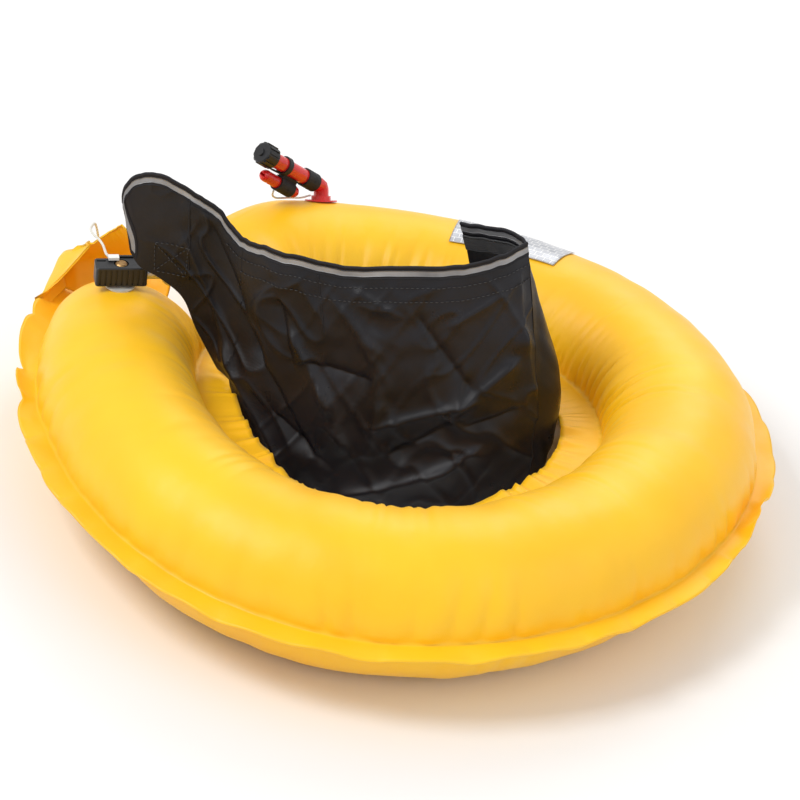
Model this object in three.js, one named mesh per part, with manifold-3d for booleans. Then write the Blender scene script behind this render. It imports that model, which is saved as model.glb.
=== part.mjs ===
// Belt-pack life ring: an inflated two-panel fabric ring, open between its two ends, with its
// gas inflator, its oral inflation tube and the nylon pouch that it unfolds from.
// Millimetres, +Z up, +Y towards the gap side. Everything is built around the ring's own
// centre, with z = 0 on the welded flange, and one group sets the ring down on z = 0.
import * as THREE from 'three';
import { mergeVertices } from 'three/addons/utils/BufferGeometryUtils.js';
import Module from 'manifold-3d';

const wasm = await Module();
wasm.setup();

// ---------- driving dimensions ----------
// Ring: its centre line is a circle made slightly oval and slightly three-cornered.
const RING_RADIUS = 238.3;
const OVAL = 0.024;              // share of the radius, two lobes
const OVAL_ANGLE = -26;
const TRIAD = 0.038;             // share of the radius, three lobes
const TRIAD_ANGLE = 22.5;
const TUBE_HALF_WIDTH = 66;      // between the welds
const TUBE_HALF_HEIGHT = 65.5;
const FABRIC = 1.2;              // wall of the coated fabric
const OUTER_FLANGE = 20.6;
const INNER_FLANGE = 30;
const END_FLANGE = 18;           // flat weld beyond each end
const END_A_ANGLE = 159.5;       // inflator end
const END_B_ANGLE = 132.5;       // oral tube end
const NOSE_LENGTH = 62;          // over which the height falls to the end weld
const NOSE_ROUNDING = 14;        // how far the middle of an end stands out past its corners
const GAP = 0.3;                 // between pieces that touch
// Where the ring stands, so that its outline is centred on the origin.
const CENTRE_SHIFT = new THREE.Vector2(-2.5, 7.8);

// Reflective patch on the back of the ring.
const PATCH_START_ANGLE = 82;
const PATCH_LENGTH = 101;
const PATCH_WIDTH = 43;
const PATCH_THICKNESS = 0.8;

// Inflator on top of end A.
const INFLATOR_ANGLE = 170;
const INFLATOR_OFFSET = 5.5;     // outwards from the centre line
const INFLATOR_TURN = 16;
const BODY_LENGTH = 44;
const BODY_DEPTH = 18;
const BODY_HEIGHT = 18;
const STEM_RADIUS = 3.6;
const RECESS_RADIUS = 6.4;
const RECESS_DEPTH = 5;
const CYLINDER_AXIS_HEIGHT = 9.5;
const CAM_PLACE = 8.9;           // along the body from the stem
const CAM_RADIUS = 2.2;
const PIN_TRAVEL = 1.6;          // for a quarter turn of the lever
const NECK_RADIUS = 6.2;
const NECK_LENGTH = 18;
const SOCKET_DEPTH = 5;
const SOCKET_FLOOR = 1.2;        // between the socket and the pin's chamber
const CYLINDER_RADIUS = 12.5;
const CYLINDER_LENGTH = 112;     // with its neck

// Oral tube on the back of the ring.
const ORAL_ANGLE = 111.5;
const ORAL_OFFSET = 30;
const ORAL_DIRECTION = new THREE.Vector3(-0.613, -0.532, 0.585).normalize();
const ORAL_RADIUS = 7;
const ORAL_WALL = 1.8;
const ELBOW_RISE = 13;
const ELBOW_REACH = 10;
const TUBE_LENGTH = 73;
const CAP_RADIUS = 10.6;
const CAP_LENGTH = 15;
const CAP_WALL = 2;
const WHISTLE_RADIUS = 5.6;
const WHISTLE_LENGTH = 52;
const HOLDER_WALL = 1.5;

// Pouch: heights are above the surface that the ring lies on.
const POUCH_FABRIC = 1.6;
const POUCH_FLOOR_GAP = 1;
const POUCH_CLEARANCE = 3.5;       // over the ring
const TAPE_WIDTH = 8;
const TAPE_THICKNESS = 0.7;
const STRIP_WIDTH = 16;          // hook and loop
const STRIP_THICKNESS = 1.2;
const STRIP_PLACE = 12;          // below the top edge
const POUCH_LINES = 6;           // up each panel

const DEG = Math.PI / 180;
const V3 = (x, y, z) => new THREE.Vector3(x, y, z);
const jacket = new THREE.Group();
const ring = new THREE.Group();
ring.position.set(CENTRE_SHIFT.x, CENTRE_SHIFT.y, TUBE_HALF_HEIGHT);
jacket.add(ring);

// ---------- materials ----------
const colour = (hex, roughness, metalness = 0) =>
  new THREE.MeshStandardMaterial({ color: hex, roughness, metalness });
const YELLOW = colour(0xf9b208, 0.45);
const SILVER_TAPE = colour(0xdfe3ea, 0.35);
const BLACK_NYLON = colour(0x1b1a1e, 0.4);
const GREY_TAPE = colour(0x8c8c90, 0.4);
const FUZZ = colour(0x29282c, 0.95);
const BLACK_PLASTIC = colour(0x161618, 0.45);
const RED_PLASTIC = colour(0xe01818, 0.3);
const CLEAR_RUBBER = colour(0xe8e6de, 0.5);
const BRASS = colour(0x8a6233, 0.35, 1);
const STEEL = colour(0xa8abb0, 0.3, 1);
const WHITE_PLASTIC = colour(0xf1f0ec, 0.4);
const WHITE_CORD = colour(0xf6f2e6, 0.8);

// ---------- helpers ----------
function add(parent, name, geometry, material) {
  const mesh = new THREE.Mesh(geometry, material);
  mesh.name = name;
  parent.add(mesh);
  return mesh;
}

function clean(geometry) {
  const bare = geometry.index ? geometry.toNonIndexed() : geometry.clone();
  bare.deleteAttribute('normal');
  bare.deleteAttribute('uv');
  return mergeVertices(bare, 1e-4);
}

function solid(geometry) {
  const merged = clean(geometry);
  const vertProperties = new Float32Array(merged.attributes.position.array);
  const triVerts = new Uint32Array(merged.index.array);
  return new wasm.Manifold(new wasm.Mesh({ numProp: 3, vertProperties, triVerts }));
}

function fromSolid(manifold) {
  const mesh = manifold.getMesh();
  const geometry = new THREE.BufferGeometry();
  geometry.setAttribute('position', new THREE.BufferAttribute(new Float32Array(mesh.vertProperties), 3));
  geometry.setIndex(new THREE.BufferAttribute(new Uint32Array(mesh.triVerts), 1));
  return geometry;
}

// body plus every geometry in joined, less every geometry in cut
function boolean(body, joined = [], cut = []) {
  let result = solid(body);
  for (const geometry of joined) result = result.add(solid(geometry));
  for (const geometry of cut) result = result.subtract(solid(geometry));
  return fromSolid(result);
}

// A profile of [radius, height] points turned about +Z.
function turned(profile, segments = 20) {
  const points = profile.map(([r, z]) => new THREE.Vector2(r, z));
  return new THREE.LatheGeometry(points, segments).rotateX(Math.PI / 2);
}

const rod = (radius, z0, z1, segments = 20) =>
  turned([[0, z0], [radius, z0], [radius, z1], [0, z1]], segments);

const pipe = (outer, inner, z0, z1, segments = 20) =>
  turned([[inner, z0], [outer, z0], [outer, z1], [inner, z1], [inner, z0]], segments);

function block(x, y, z, width, depth, height) {
  return new THREE.BoxGeometry(width, depth, height).translate(x, y, z);
}

// A tube of round section through points, with flat ends.
function tube(points, radius, sides, steps) {
  const section = new THREE.Shape();
  for (let i = 0; i < sides; i += 1) {
    const angle = (i / sides) * 2 * Math.PI;
    const x = radius * Math.cos(angle);
    const y = radius * Math.sin(angle);
    if (i === 0) section.moveTo(x, y);
    else section.lineTo(x, y);
  }
  section.closePath();
  const path = new THREE.CatmullRomCurve3(points);
  return new THREE.ExtrudeGeometry(section, { steps, extrudePath: path, curveSegments: 1 });
}

// Closed sheet between two grids of points of the same size.
function sheetBetween(front, back) {
  const rows = front.length;
  const columns = front[0].length;
  const positions = [];
  const index = [];
  for (const p of [...front, ...back].flat()) positions.push(p.x, p.y, p.z);
  const at = (side, i, j) => side * rows * columns + i * columns + j;
  const quad = (a, b, c, d) => index.push(a, b, c, a, c, d);
  for (let i = 0; i < rows - 1; i += 1) {
    for (let j = 0; j < columns - 1; j += 1) {
      quad(at(0, i, j), at(0, i + 1, j), at(0, i + 1, j + 1), at(0, i, j + 1));
      quad(at(1, i, j), at(1, i, j + 1), at(1, i + 1, j + 1), at(1, i + 1, j));
    }
    quad(at(0, i, 0), at(1, i, 0), at(1, i + 1, 0), at(0, i + 1, 0));
    const e = columns - 1;
    quad(at(0, i, e), at(0, i + 1, e), at(1, i + 1, e), at(1, i, e));
  }
  for (let j = 0; j < columns - 1; j += 1) {
    quad(at(0, 0, j), at(0, 0, j + 1), at(1, 0, j + 1), at(1, 0, j));
    const e = rows - 1;
    quad(at(0, e, j), at(1, e, j), at(1, e, j + 1), at(0, e, j + 1));
  }
  if (signedVolume(positions, index) < 0) index.reverse();
  const geometry = new THREE.BufferGeometry();
  geometry.setAttribute('position', new THREE.Float32BufferAttribute(positions, 3));
  geometry.setIndex(index);
  return geometry;
}

function signedVolume(positions, index) {
  const p = (i) => V3(positions[3 * i], positions[3 * i + 1], positions[3 * i + 2]);
  let volume = 0;
  for (let t = 0; t < index.length; t += 3) {
    volume += p(index[t]).dot(p(index[t + 1]).cross(p(index[t + 2]))) / 6;
  }
  return volume;
}

// Normals of a grid of points.
function gridNormals(grid) {
  const clampRow = (i) => Math.min(Math.max(i, 0), grid.length - 1);
  const clampColumn = (j) => Math.min(Math.max(j, 0), grid[0].length - 1);
  return grid.map((row, i) => row.map((_, j) => {
    const along = grid[clampRow(i + 1)][j].clone().sub(grid[clampRow(i - 1)][j]);
    const across = grid[i][clampColumn(j + 1)].clone().sub(grid[i][clampColumn(j - 1)]);
    return along.cross(across).normalize();
  }));
}

// A sheet of one thickness whose near face lies a distance off the grid, along its normals.
function offsetSheet(grid, distance, thickness) {
  const normals = gridNormals(grid);
  const moved = (p, i, j, d) => p.clone().addScaledVector(normals[i][j], d);
  const shifted = (d) => grid.map((row, i) => row.map((p, j) => moved(p, i, j, d)));
  return sheetBetween(shifted(distance), shifted(distance + thickness));
}

const range = (count) => Array.from({ length: count + 1 }, (_, i) => i / count);

// ---------- the ring's own coordinates ----------
function centreRadius(angle) {
  const lobes2 = OVAL * Math.cos(2 * (angle - OVAL_ANGLE) * DEG);
  const lobes3 = TRIAD * Math.cos(3 * (angle - TRIAD_ANGLE) * DEG);
  return RING_RADIUS * (1 + lobes2 + lobes3);
}

function centrePoint(angle) {
  const r = centreRadius(angle);
  return new THREE.Vector2(r * Math.cos(angle * DEG), r * Math.sin(angle * DEG));
}

function outward(angle) {
  const step = 0.5;
  const t = centrePoint(angle + step).sub(centrePoint(angle - step)).normalize();
  return new THREE.Vector2(t.y, -t.x);
}

// The point that lies n outwards from the centre line at an angle, at height z.
function ringPoint(angle, n, z) {
  const p = centrePoint(angle).addScaledVector(outward(angle), n);
  return V3(p.x, p.y, z);
}

const degreesFor = (length, angle) => length / (centreRadius(angle) * DEG);
const crownHeight = (n) =>
  TUBE_HALF_HEIGHT * Math.sqrt(Math.max(0, 1 - (n / TUBE_HALF_WIDTH) ** 2));

// A point on the tube's top surface, raised along the surface's normal.
function onTube(angle, n, raise) {
  const z = crownHeight(n);
  const normal = new THREE.Vector2(n / TUBE_HALF_WIDTH ** 2, z / TUBE_HALF_HEIGHT ** 2).normalize();
  return ringPoint(angle, n + normal.x * raise, z + normal.y * raise);
}

// Height of the ring's top surface over a plan point, or null over the hole and outside.
function ringTop(x, y) {
  let angle = Math.atan2(y, x) / DEG;
  for (let pass = 0; pass < 4; pass += 1) {
    const away = new THREE.Vector2(x, y).sub(centrePoint(angle));
    const normal = outward(angle);
    angle += degreesFor(away.y * normal.x - away.x * normal.y, angle);
  }
  const n = new THREE.Vector2(x, y).sub(centrePoint(angle)).dot(outward(angle));
  const rounding = endRounding(n);
  const along = (angle - END_A_ANGLE) / degreesFor(1, END_A_ANGLE) + rounding;
  const fromEnd = NOSE_LENGTH * along / (NOSE_LENGTH + rounding);
  const share = angle > 0 ? noseShare(fromEnd) : 1;
  const flange = FABRIC + GAP / 2;
  const arch = Math.sqrt(Math.max(0, 1 - (n / TUBE_HALF_WIDTH) ** 2));
  if (Math.abs(n) < TUBE_HALF_WIDTH) return flange + (TUBE_HALF_HEIGHT - flange) * share * arch;
  if (n < 0 && n > -(TUBE_HALF_WIDTH + INNER_FLANGE + POUCH_CLEARANCE)) return FABRIC + GAP;
  return null;
}

// ---------- bladder ----------
// Share of the full height at a distance from the end weld.
const noseShare = (d) => Math.sqrt(1 - (1 - Math.min(Math.max(d / NOSE_LENGTH, 0), 1)) ** 2);

const endRounding = (n) => NOSE_ROUNDING * (1 - Math.min(1, (n / TUBE_HALF_WIDTH) ** 2));

function stations() {
  const length = degreesFor(NOSE_LENGTH, END_A_ANGLE);
  const flange = degreesFor(END_FLANGE, END_A_ANGLE);
  const first = END_A_ANGLE;
  const last = END_B_ANGLE + 360;
  const nose = [0.004, 0.06, 0.16, 0.32, 0.55, 0.78, 1];
  const list = [{ angle: first - flange, share: 0, bulge: 1 }];
  for (const u of nose) {
    list.push({ angle: first + length * u, share: noseShare(u * NOSE_LENGTH), bulge: 1 - u });
  }
  const runs = 34;
  const start = first + length;
  const end = last - length;
  for (let i = 1; i < runs; i += 1) {
    list.push({ angle: start + ((end - start) * i) / runs, share: 1, bulge: 0 });
  }
  for (const u of [...nose].reverse()) {
    list.push({ angle: last - length * u, share: noseShare(u * NOSE_LENGTH), bulge: u - 1 });
  }
  list.push({ angle: last + flange, share: 0, bulge: -1 });
  return list;
}

// One half of the bladder: side is 1 for the top panel and -1 for the bottom one.
function bladderPanel(side) {
  const steps = 12;
  const arcs = range(steps).map((s) => Math.PI * (1 - s));
  const outer = [];
  const inner = [];
  for (const { angle, share, bulge } of stations()) {
    const rise = (TUBE_HALF_HEIGHT - FABRIC - GAP / 2) * share;
    const place = (n, z) => {
      const turn = degreesFor(endRounding(n) * bulge, END_A_ANGLE);
      return ringPoint(angle - turn, n, side * z);
    };
    const face = (wall) => {
      const base = GAP / 2 + wall;
      const width = TUBE_HALF_WIDTH - FABRIC + wall;
      const arch = arcs.map((t) => place(width * Math.cos(t), base + rise * Math.sin(t)));
      const inside = place(-TUBE_HALF_WIDTH - INNER_FLANGE, base);
      const outside = place(TUBE_HALF_WIDTH + OUTER_FLANGE, base);
      return [inside, ...arch, outside];
    };
    outer.push(face(FABRIC));
    inner.push(face(0));
  }
  return sheetBetween(outer, inner);
}

// The welded end flange of end A carries on as a square-cut tab that curls up behind the end.
function endTab() {
  const foot = 3 * FABRIC;
  const grid = range(8).map((u) => {
    const n = 80 - 92 * u;
    const angle = END_A_ANGLE - degreesFor(END_FLANGE * 0.7 + endRounding(n), END_A_ANGLE);
    const low = ringPoint(angle, n, foot);
    const middle = ringPoint(angle - 2 - 2 * u, n + 14 - 6 * u, 26 + 10 * u);
    const top = ringPoint(angle - 1 + 2 * u, 62 - 28 * u, 53 + 26 * u);
    return new THREE.CatmullRomCurve3([low, middle, top]).getPoints(6);
  });
  return offsetSheet(grid, 0, 2 * FABRIC);
}

function reflectivePatch() {
  const turn = degreesFor(PATCH_LENGTH, PATCH_START_ANGLE);
  const at = (raise) => range(10).map((u) => range(6).map((v) => {
    const n = PATCH_WIDTH * (v - 0.5) + 1 + 9 * u;
    return onTube(PATCH_START_ANGLE - turn * u, n, raise);
  }));
  return sheetBetween(at(GAP), at(GAP + PATCH_THICKNESS));
}

add(ring, 'bladder_top_panel', bladderPanel(1), YELLOW);
add(ring, 'bladder_bottom_panel', bladderPanel(-1), YELLOW);
add(ring, 'bladder_end_tab', endTab(), YELLOW);
add(ring, 'reflective_patch', reflectivePatch(), SILVER_TAPE);

// ---------- inflator ----------
// Its own frame: origin on the ring's crown under the stem, X along the body to the cylinder.
const inflator = new THREE.Group();
inflator.position.copy(ringPoint(INFLATOR_ANGLE, INFLATOR_OFFSET, crownHeight(INFLATOR_OFFSET)));
inflator.rotation.z = INFLATOR_TURN * DEG;
ring.add(inflator);
const FLANGE_RADIUS = 13;
const STEM_DISC = 1.4;           // thickness
const GASKET = 1.4;
const BODY_BASE = GAP + STEM_DISC + GAP + GASKET + GAP;
const BODY_TOP = BODY_BASE + BODY_HEIGHT;
const RECESS_FLOOR = BODY_TOP - RECESS_DEPTH;
const CYLINDER_AXIS = BODY_BASE + CYLINDER_AXIS_HEIGHT;
const LEVER_GAP = 0.4;
const HUB_RADIUS = 2;
const PIVOT_RADIUS = 0.9;
const PIVOT_GAP = 0.2;
const PIN_RADIUS = 1.1;
const PIN_HEAD_RADIUS = 2.2;
const PIN_HEAD = 0.6;
const BODY_HALF = BODY_LENGTH / 2;
const PIN_TAIL = CAM_PLACE + CAM_RADIUS + PIN_TRAVEL + GAP;   // just clear of the cam at full turn
const SPRING_SEAT = BODY_HALF - SOCKET_DEPTH - SOCKET_FLOOR;
const PIN_SPRING_RADIUS = 1.75;
const PIN_SPRING_WIRE = 0.22;
const CLIP_WIDTH = 8;
const CLIP_PLACE = -6;           // along the body from the stem
const LEVER_THICKNESS = 2.2;
const LEVER_ARM = 16;
const alongX = (geometry, y = 0, z = 0) => geometry.rotateY(Math.PI / 2).translate(0, y, z);
const alongY = (geometry, x, z) => geometry.rotateX(-Math.PI / 2).translate(x, 0, z);

function inflatorBody() {
  const outline = new THREE.Shape();
  const corner = 2.5;
  const w = BODY_HALF;
  const d = BODY_DEPTH / 2;
  outline.moveTo(-w + corner, -d).lineTo(w - corner, -d);
  outline.absarc(w - corner, -d + corner, corner, -Math.PI / 2, 0);
  outline.lineTo(w, d - corner).absarc(w - corner, d - corner, corner, 0, Math.PI / 2);
  outline.lineTo(-w + corner, d).absarc(-w + corner, d - corner, corner, Math.PI / 2, Math.PI);
  outline.lineTo(-w, -d + corner).absarc(-w + corner, -d + corner, corner, Math.PI, 1.5 * Math.PI);
  const bevel = 0.8;
  const rounding = { bevelSize: bevel, bevelOffset: -bevel, bevelThickness: bevel, bevelSegments: 1 };
  const options = { depth: BODY_HEIGHT - 2 * bevel, curveSegments: 4, ...rounding };
  const body = new THREE.ExtrudeGeometry(outline, options).translate(0, 0, BODY_BASE + bevel);
  const cuts = [
    rod(STEM_RADIUS + GAP, BODY_BASE - 1, BODY_TOP + 1),
    rod(RECESS_RADIUS, RECESS_FLOOR, BODY_TOP + 1),
    alongX(rod(NECK_RADIUS + GAP, w - SOCKET_DEPTH, w + 1), 0, CYLINDER_AXIS),
    alongX(rod(PIN_HEAD_RADIUS + GAP, CAM_PLACE - 1, SPRING_SEAT), 0, CYLINDER_AXIS),
    alongX(rod(PIN_RADIUS + GAP, CAM_PLACE, w), 0, CYLINDER_AXIS),
    // pocket for the cam, and its shaft's bore out to the back
    alongY(rod(CAM_RADIUS + PIN_TRAVEL + LEVER_GAP, -2.6, 2.6), CAM_PLACE, CYLINDER_AXIS),
    alongY(rod(CAM_RADIUS + PIN_TRAVEL + LEVER_GAP, 2, d + 1), CAM_PLACE, CYLINDER_AXIS),
    alongY(rod(PIVOT_RADIUS + PIVOT_GAP, -6, 0, 16), CAM_PLACE, CYLINDER_AXIS),
    // gauge slot on top, at the end away from the cylinder
    block(-w + 5.5, d - 5, BODY_TOP, 8, 2, 3),
    // seat of the indicator clip
    block(CLIP_PLACE, d - 1.4, BODY_TOP, CLIP_WIDTH + 2 * GAP, 2.8 + 2 * GAP, 5),
  ];
  const grooves = 9;
  for (let i = 0; i < grooves; i += 1) {
    const x = (i - (grooves - 1) / 2) * (BODY_LENGTH - 7) / (grooves - 1);
    cuts.push(block(x, -d, BODY_BASE + BODY_HEIGHT / 2, 1.7, 2, BODY_HEIGHT - 3.6));
  }
  return boolean(body, [], cuts);
}

// Stem with the disc that is welded on the fabric.
function manifoldStem() {
  const z0 = GAP;
  const z1 = GAP + STEM_DISC;
  const top = RECESS_FLOOR + 3.6;
  return turned([[1.5, z0], [FLANGE_RADIUS, z0], [FLANGE_RADIUS, z1], [STEM_RADIUS, z1],
    [STEM_RADIUS, top], [1.5, top], [1.5, z0]], 28);
}

function capNut() {
  const z0 = RECESS_FLOOR + GAP + 1 + GAP;
  const z1 = BODY_TOP + 0.6;
  const hole = RECESS_FLOOR + 3.6 + GAP;
  return turned([[STEM_RADIUS + GAP, z0], [5.2, z0], [5.2, z1 - 1], [4.2, z1], [0, z1], [0, hole],
    [STEM_RADIUS + GAP, hole], [STEM_RADIUS + GAP, z0]]);
}

// Cam whose radius grows evenly, so that the pin moves in step with the lever.
function firingLever() {
  const cam = new THREE.Shape();
  const steps = 24;
  for (let i = 0; i <= steps; i += 1) {
    const turn = (i / steps) * 1.5 * Math.PI;
    const r = CAM_RADIUS + PIN_TRAVEL * Math.min(1, turn / (Math.PI / 2));
    const x = r * Math.cos(turn);
    const y = r * Math.sin(turn);
    if (i === 0) cam.moveTo(x, y);
    else cam.lineTo(x, y);
  }
  cam.closePath();
  const d = BODY_DEPTH / 2;
  const upright = (geometry, y) => geometry.rotateX(Math.PI / 2).translate(CAM_PLACE, y, CYLINDER_AXIS);
  const disc = upright(new THREE.ExtrudeGeometry(cam, { depth: 4.4, bevelEnabled: false }), 2.2);
  const hub = alongY(rod(HUB_RADIUS, -2.2, d + LEVER_GAP + 0.5), CAM_PLACE, CYLINDER_AXIS);
  const bore = alongY(rod(PIVOT_RADIUS + PIVOT_GAP, -4, d + 6, 16), CAM_PLACE, CYLINDER_AXIS);
  const arm = new THREE.Shape();
  const rise = BODY_TOP - CYLINDER_AXIS + 1.2;
  arm.moveTo(4, -4).lineTo(4, rise).lineTo(-LEVER_ARM, rise).lineTo(-LEVER_ARM, rise - 5);
  arm.lineTo(-3.5, rise - 6).lineTo(-4, -4).closePath();
  const eye = new THREE.Path();
  eye.absarc(-LEVER_ARM + 2.6, rise - 2.4, 1.2, 0, 2 * Math.PI, true);
  arm.holes.push(eye);
  const flat = { depth: LEVER_THICKNESS, bevelEnabled: false, curveSegments: 6 };
  const plate = new THREE.ExtrudeGeometry(arm, flat);
  return boolean(disc, [hub, upright(plate, d + LEVER_GAP + LEVER_THICKNESS)], [bore]);
}

function piercingPin() {
  const neck = PIN_TAIL + PIN_HEAD;
  const profile = [[0, PIN_TAIL], [PIN_HEAD_RADIUS, PIN_TAIL], [PIN_HEAD_RADIUS, neck],
    [PIN_RADIUS, neck], [PIN_RADIUS, SPRING_SEAT + 0.4], [0, SPRING_SEAT + 2.6]];
  return alongX(turned(profile, 16), 0, CYLINDER_AXIS);
}

function leverPin() {
  const d = BODY_DEPTH / 2;
  const face = d + LEVER_GAP + LEVER_THICKNESS + PIVOT_GAP;
  return alongY(turned([[0, -5.8], [PIVOT_RADIUS, -5.8], [PIVOT_RADIUS, face], [2, face], [2, face + 0.8],
    [0, face + 0.8]], 16), CAM_PLACE, CYLINDER_AXIS);
}

// Thin-walled bottle, pierced at its neck.
function gasCylinder() {
  const z0 = BODY_HALF - SOCKET_DEPTH + GAP;
  const neckEnd = z0 + NECK_LENGTH;
  const end = z0 + CYLINDER_LENGTH;
  const shoulder = 9;
  const wall = 1.8;
  const hole = PIN_RADIUS + 0.5;
  const profile = [[hole, z0], [NECK_RADIUS, z0], [NECK_RADIUS, neckEnd]];
  for (const s of range(4).slice(1)) {
    const t = (s * Math.PI) / 2;
    const r = NECK_RADIUS + (CYLINDER_RADIUS - NECK_RADIUS) * Math.sin(t);
    profile.push([r, neckEnd + shoulder * (1 - Math.cos(t))]);
  }
  for (const s of range(4).slice(0, 4)) {
    const t = (s * Math.PI) / 2;
    profile.push([CYLINDER_RADIUS * Math.cos(t), end - shoulder + shoulder * Math.sin(t)]);
  }
  const inside = CYLINDER_RADIUS - wall;
  profile.push([0, end], [0, end - wall], [inside * 0.7, end - wall - 1], [inside, end - shoulder]);
  profile.push([inside, neckEnd + shoulder], [NECK_RADIUS - 2.5, neckEnd], [NECK_RADIUS - 2.5, z0 + 3]);
  profile.push([hole, z0 + 3], [hole, z0]);
  return alongX(turned(profile), 0, CYLINDER_AXIS);
}

function coilSpring(radius, wire, z0, z1, turns) {
  const points = range(turns * 8).map((u) => {
    const turn = u * turns * 2 * Math.PI;
    return V3(radius * Math.cos(turn), radius * Math.sin(turn), z0 + wire + (z1 - z0 - 2 * wire) * u);
  });
  return tube(points, wire, 5, turns * 9);
}

add(inflator, 'manifold_stem', manifoldStem(), CLEAR_RUBBER);
const lowerGasket = pipe(5.6, STEM_RADIUS + GAP, 2 * GAP + STEM_DISC, BODY_BASE - GAP);
add(inflator, 'lower_gasket', lowerGasket, CLEAR_RUBBER);
add(inflator, 'inflator_body', inflatorBody(), BLACK_PLASTIC);
const upperGasket = pipe(5.4, STEM_RADIUS + GAP, RECESS_FLOOR + GAP, RECESS_FLOOR + GAP + 1);
add(inflator, 'upper_gasket', upperGasket, CLEAR_RUBBER);
add(inflator, 'cap_nut', capNut(), BRASS);
add(inflator, 'firing_lever', firingLever(), BLACK_PLASTIC);
add(inflator, 'lever_pin', leverPin(), STEEL);
add(inflator, 'piercing_pin', piercingPin(), STEEL);
const springStart = PIN_TAIL + PIN_HEAD + 0.1;
const pinSpring = coilSpring(PIN_SPRING_RADIUS, PIN_SPRING_WIRE, springStart, SPRING_SEAT - 0.1, 3);
add(inflator, 'pin_spring', alongX(pinSpring, 0, CYLINDER_AXIS), STEEL);
const clipLeg = block(CLIP_PLACE, BODY_DEPTH / 2 - 1.4, BODY_TOP + 0.1, CLIP_WIDTH, 2.8, 3.6);
const clipHead = block(CLIP_PLACE, BODY_DEPTH / 2 - 3, BODY_TOP + 2.2, CLIP_WIDTH + 1, 6, 2.6);
add(inflator, 'indicator_clip', boolean(clipLeg, [clipHead]), WHITE_PLASTIC);
add(inflator, 'gas_cylinder', gasCylinder(), STEEL);

// ---------- oral tube ----------
// Its own frame: origin at the elbow's bend, Z along the tube to the mouthpiece, X upwards.
const oralBase = onTube(ORAL_ANGLE, ORAL_OFFSET, 0);
const baseUp = onTube(ORAL_ANGLE, ORAL_OFFSET, 1).sub(oralBase);
const bend = oralBase.clone().addScaledVector(baseUp, ELBOW_RISE);
const oral = new THREE.Group();
const oralSide = ORAL_DIRECTION.clone().cross(V3(0, 0, 1)).normalize();
const oralUp = oralSide.clone().cross(ORAL_DIRECTION).normalize();
oral.matrix.makeBasis(oralUp, oralSide, ORAL_DIRECTION).setPosition(bend);
oral.matrix.decompose(oral.position, oral.quaternion, oral.scale);
ring.add(oral);

const TUBE_START = ELBOW_REACH + GAP;
const TUBE_END = TUBE_START + TUBE_LENGTH;
const BORE = ORAL_RADIUS - ORAL_WALL;
const SEAT_PLACE = TUBE_END - 16;
const SEAT_THICKNESS = 3;
const SEAT_BORE = 2.6;
const POPPET_STEM = 1;
const POPPET_TRAVEL = 4;
const CAP_START = TUBE_END - CAP_LENGTH + CAP_WALL + 4;
const CAP_END = CAP_START + CAP_LENGTH;

// Base flange, short riser and bend, bored through; the spigot at its end enters the tube.
function oralElbow() {
  const toBase = baseUp.clone().negate().applyQuaternion(oral.quaternion.clone().invert()).normalize();
  const foot = toBase.clone().multiplyScalar(ELBOW_RISE);
  const through = toBase.clone().multiplyScalar(ELBOW_RISE + 2);
  const route = [foot, toBase.clone().multiplyScalar(ORAL_RADIUS), V3(0, 0, 1.5), V3(0, 0, ELBOW_REACH)];
  const bore = [through, route[1], route[2], V3(0, 0, ELBOW_REACH + 9)];
  const toward = new THREE.Quaternion().setFromUnitVectors(V3(0, 0, 1), toBase);
  const place = (geometry) => geometry.applyQuaternion(toward);
  const skirt = place(rod(ORAL_RADIUS + 2, ELBOW_RISE - 5, ELBOW_RISE - 0.1));
  const flange = place(rod(ORAL_RADIUS + 8, ELBOW_RISE - 1.2, ELBOW_RISE));
  const spigot = rod(BORE - GAP, ELBOW_REACH - 1, ELBOW_REACH + 7);
  return boolean(tube(route, ORAL_RADIUS, 16, 8), [skirt, flange, spigot], [tube(bore, BORE - 1.6, 10, 9)]);
}

function valveSeat() {
  return pipe(BORE - GAP, SEAT_BORE, SEAT_PLACE, SEAT_PLACE + SEAT_THICKNESS);
}

// The disc closes the seat from the bladder side; the stem comes out towards the mouth.
function valvePoppet() {
  const disc = SEAT_PLACE - GAP - 1.6;
  return turned([[0, disc - 1], [4, disc - 1], [4, disc], [POPPET_STEM, disc],
    [POPPET_STEM, SEAT_PLACE + SEAT_THICKNESS + 7.6], [3, SEAT_PLACE + SEAT_THICKNESS + 7.6],
    [3, SEAT_PLACE + SEAT_THICKNESS + 8.6], [0, SEAT_PLACE + SEAT_THICKNESS + 8.6]]);
}

function dustCap() {
  const inner = ORAL_RADIUS + GAP;
  const cap = turned([[inner, CAP_START], [CAP_RADIUS - 0.8, CAP_START], [CAP_RADIUS - 0.8, CAP_END - 1],
    [CAP_RADIUS - 2, CAP_END], [3.6, CAP_END], [3.2, CAP_END + 1.6], [0, CAP_END + 1.6],
    [0, CAP_END - CAP_WALL], [inner, CAP_END - CAP_WALL], [inner, CAP_START]], 24);
  const ribs = [];
  const count = 12;
  for (let i = 0; i < count; i += 1) {
    const rib = block(CAP_RADIUS - 1, 0, (CAP_START + CAP_END) / 2 - 0.4, 2, 2.6, CAP_LENGTH - 2.4);
    ribs.push(rib.rotateZ((i / count) * 2 * Math.PI));
  }
  return boolean(cap, ribs);
}

const TETHER_PLACE = TUBE_START + 42;
const TETHER_RADIUS = ORAL_RADIUS + GAP;

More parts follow.
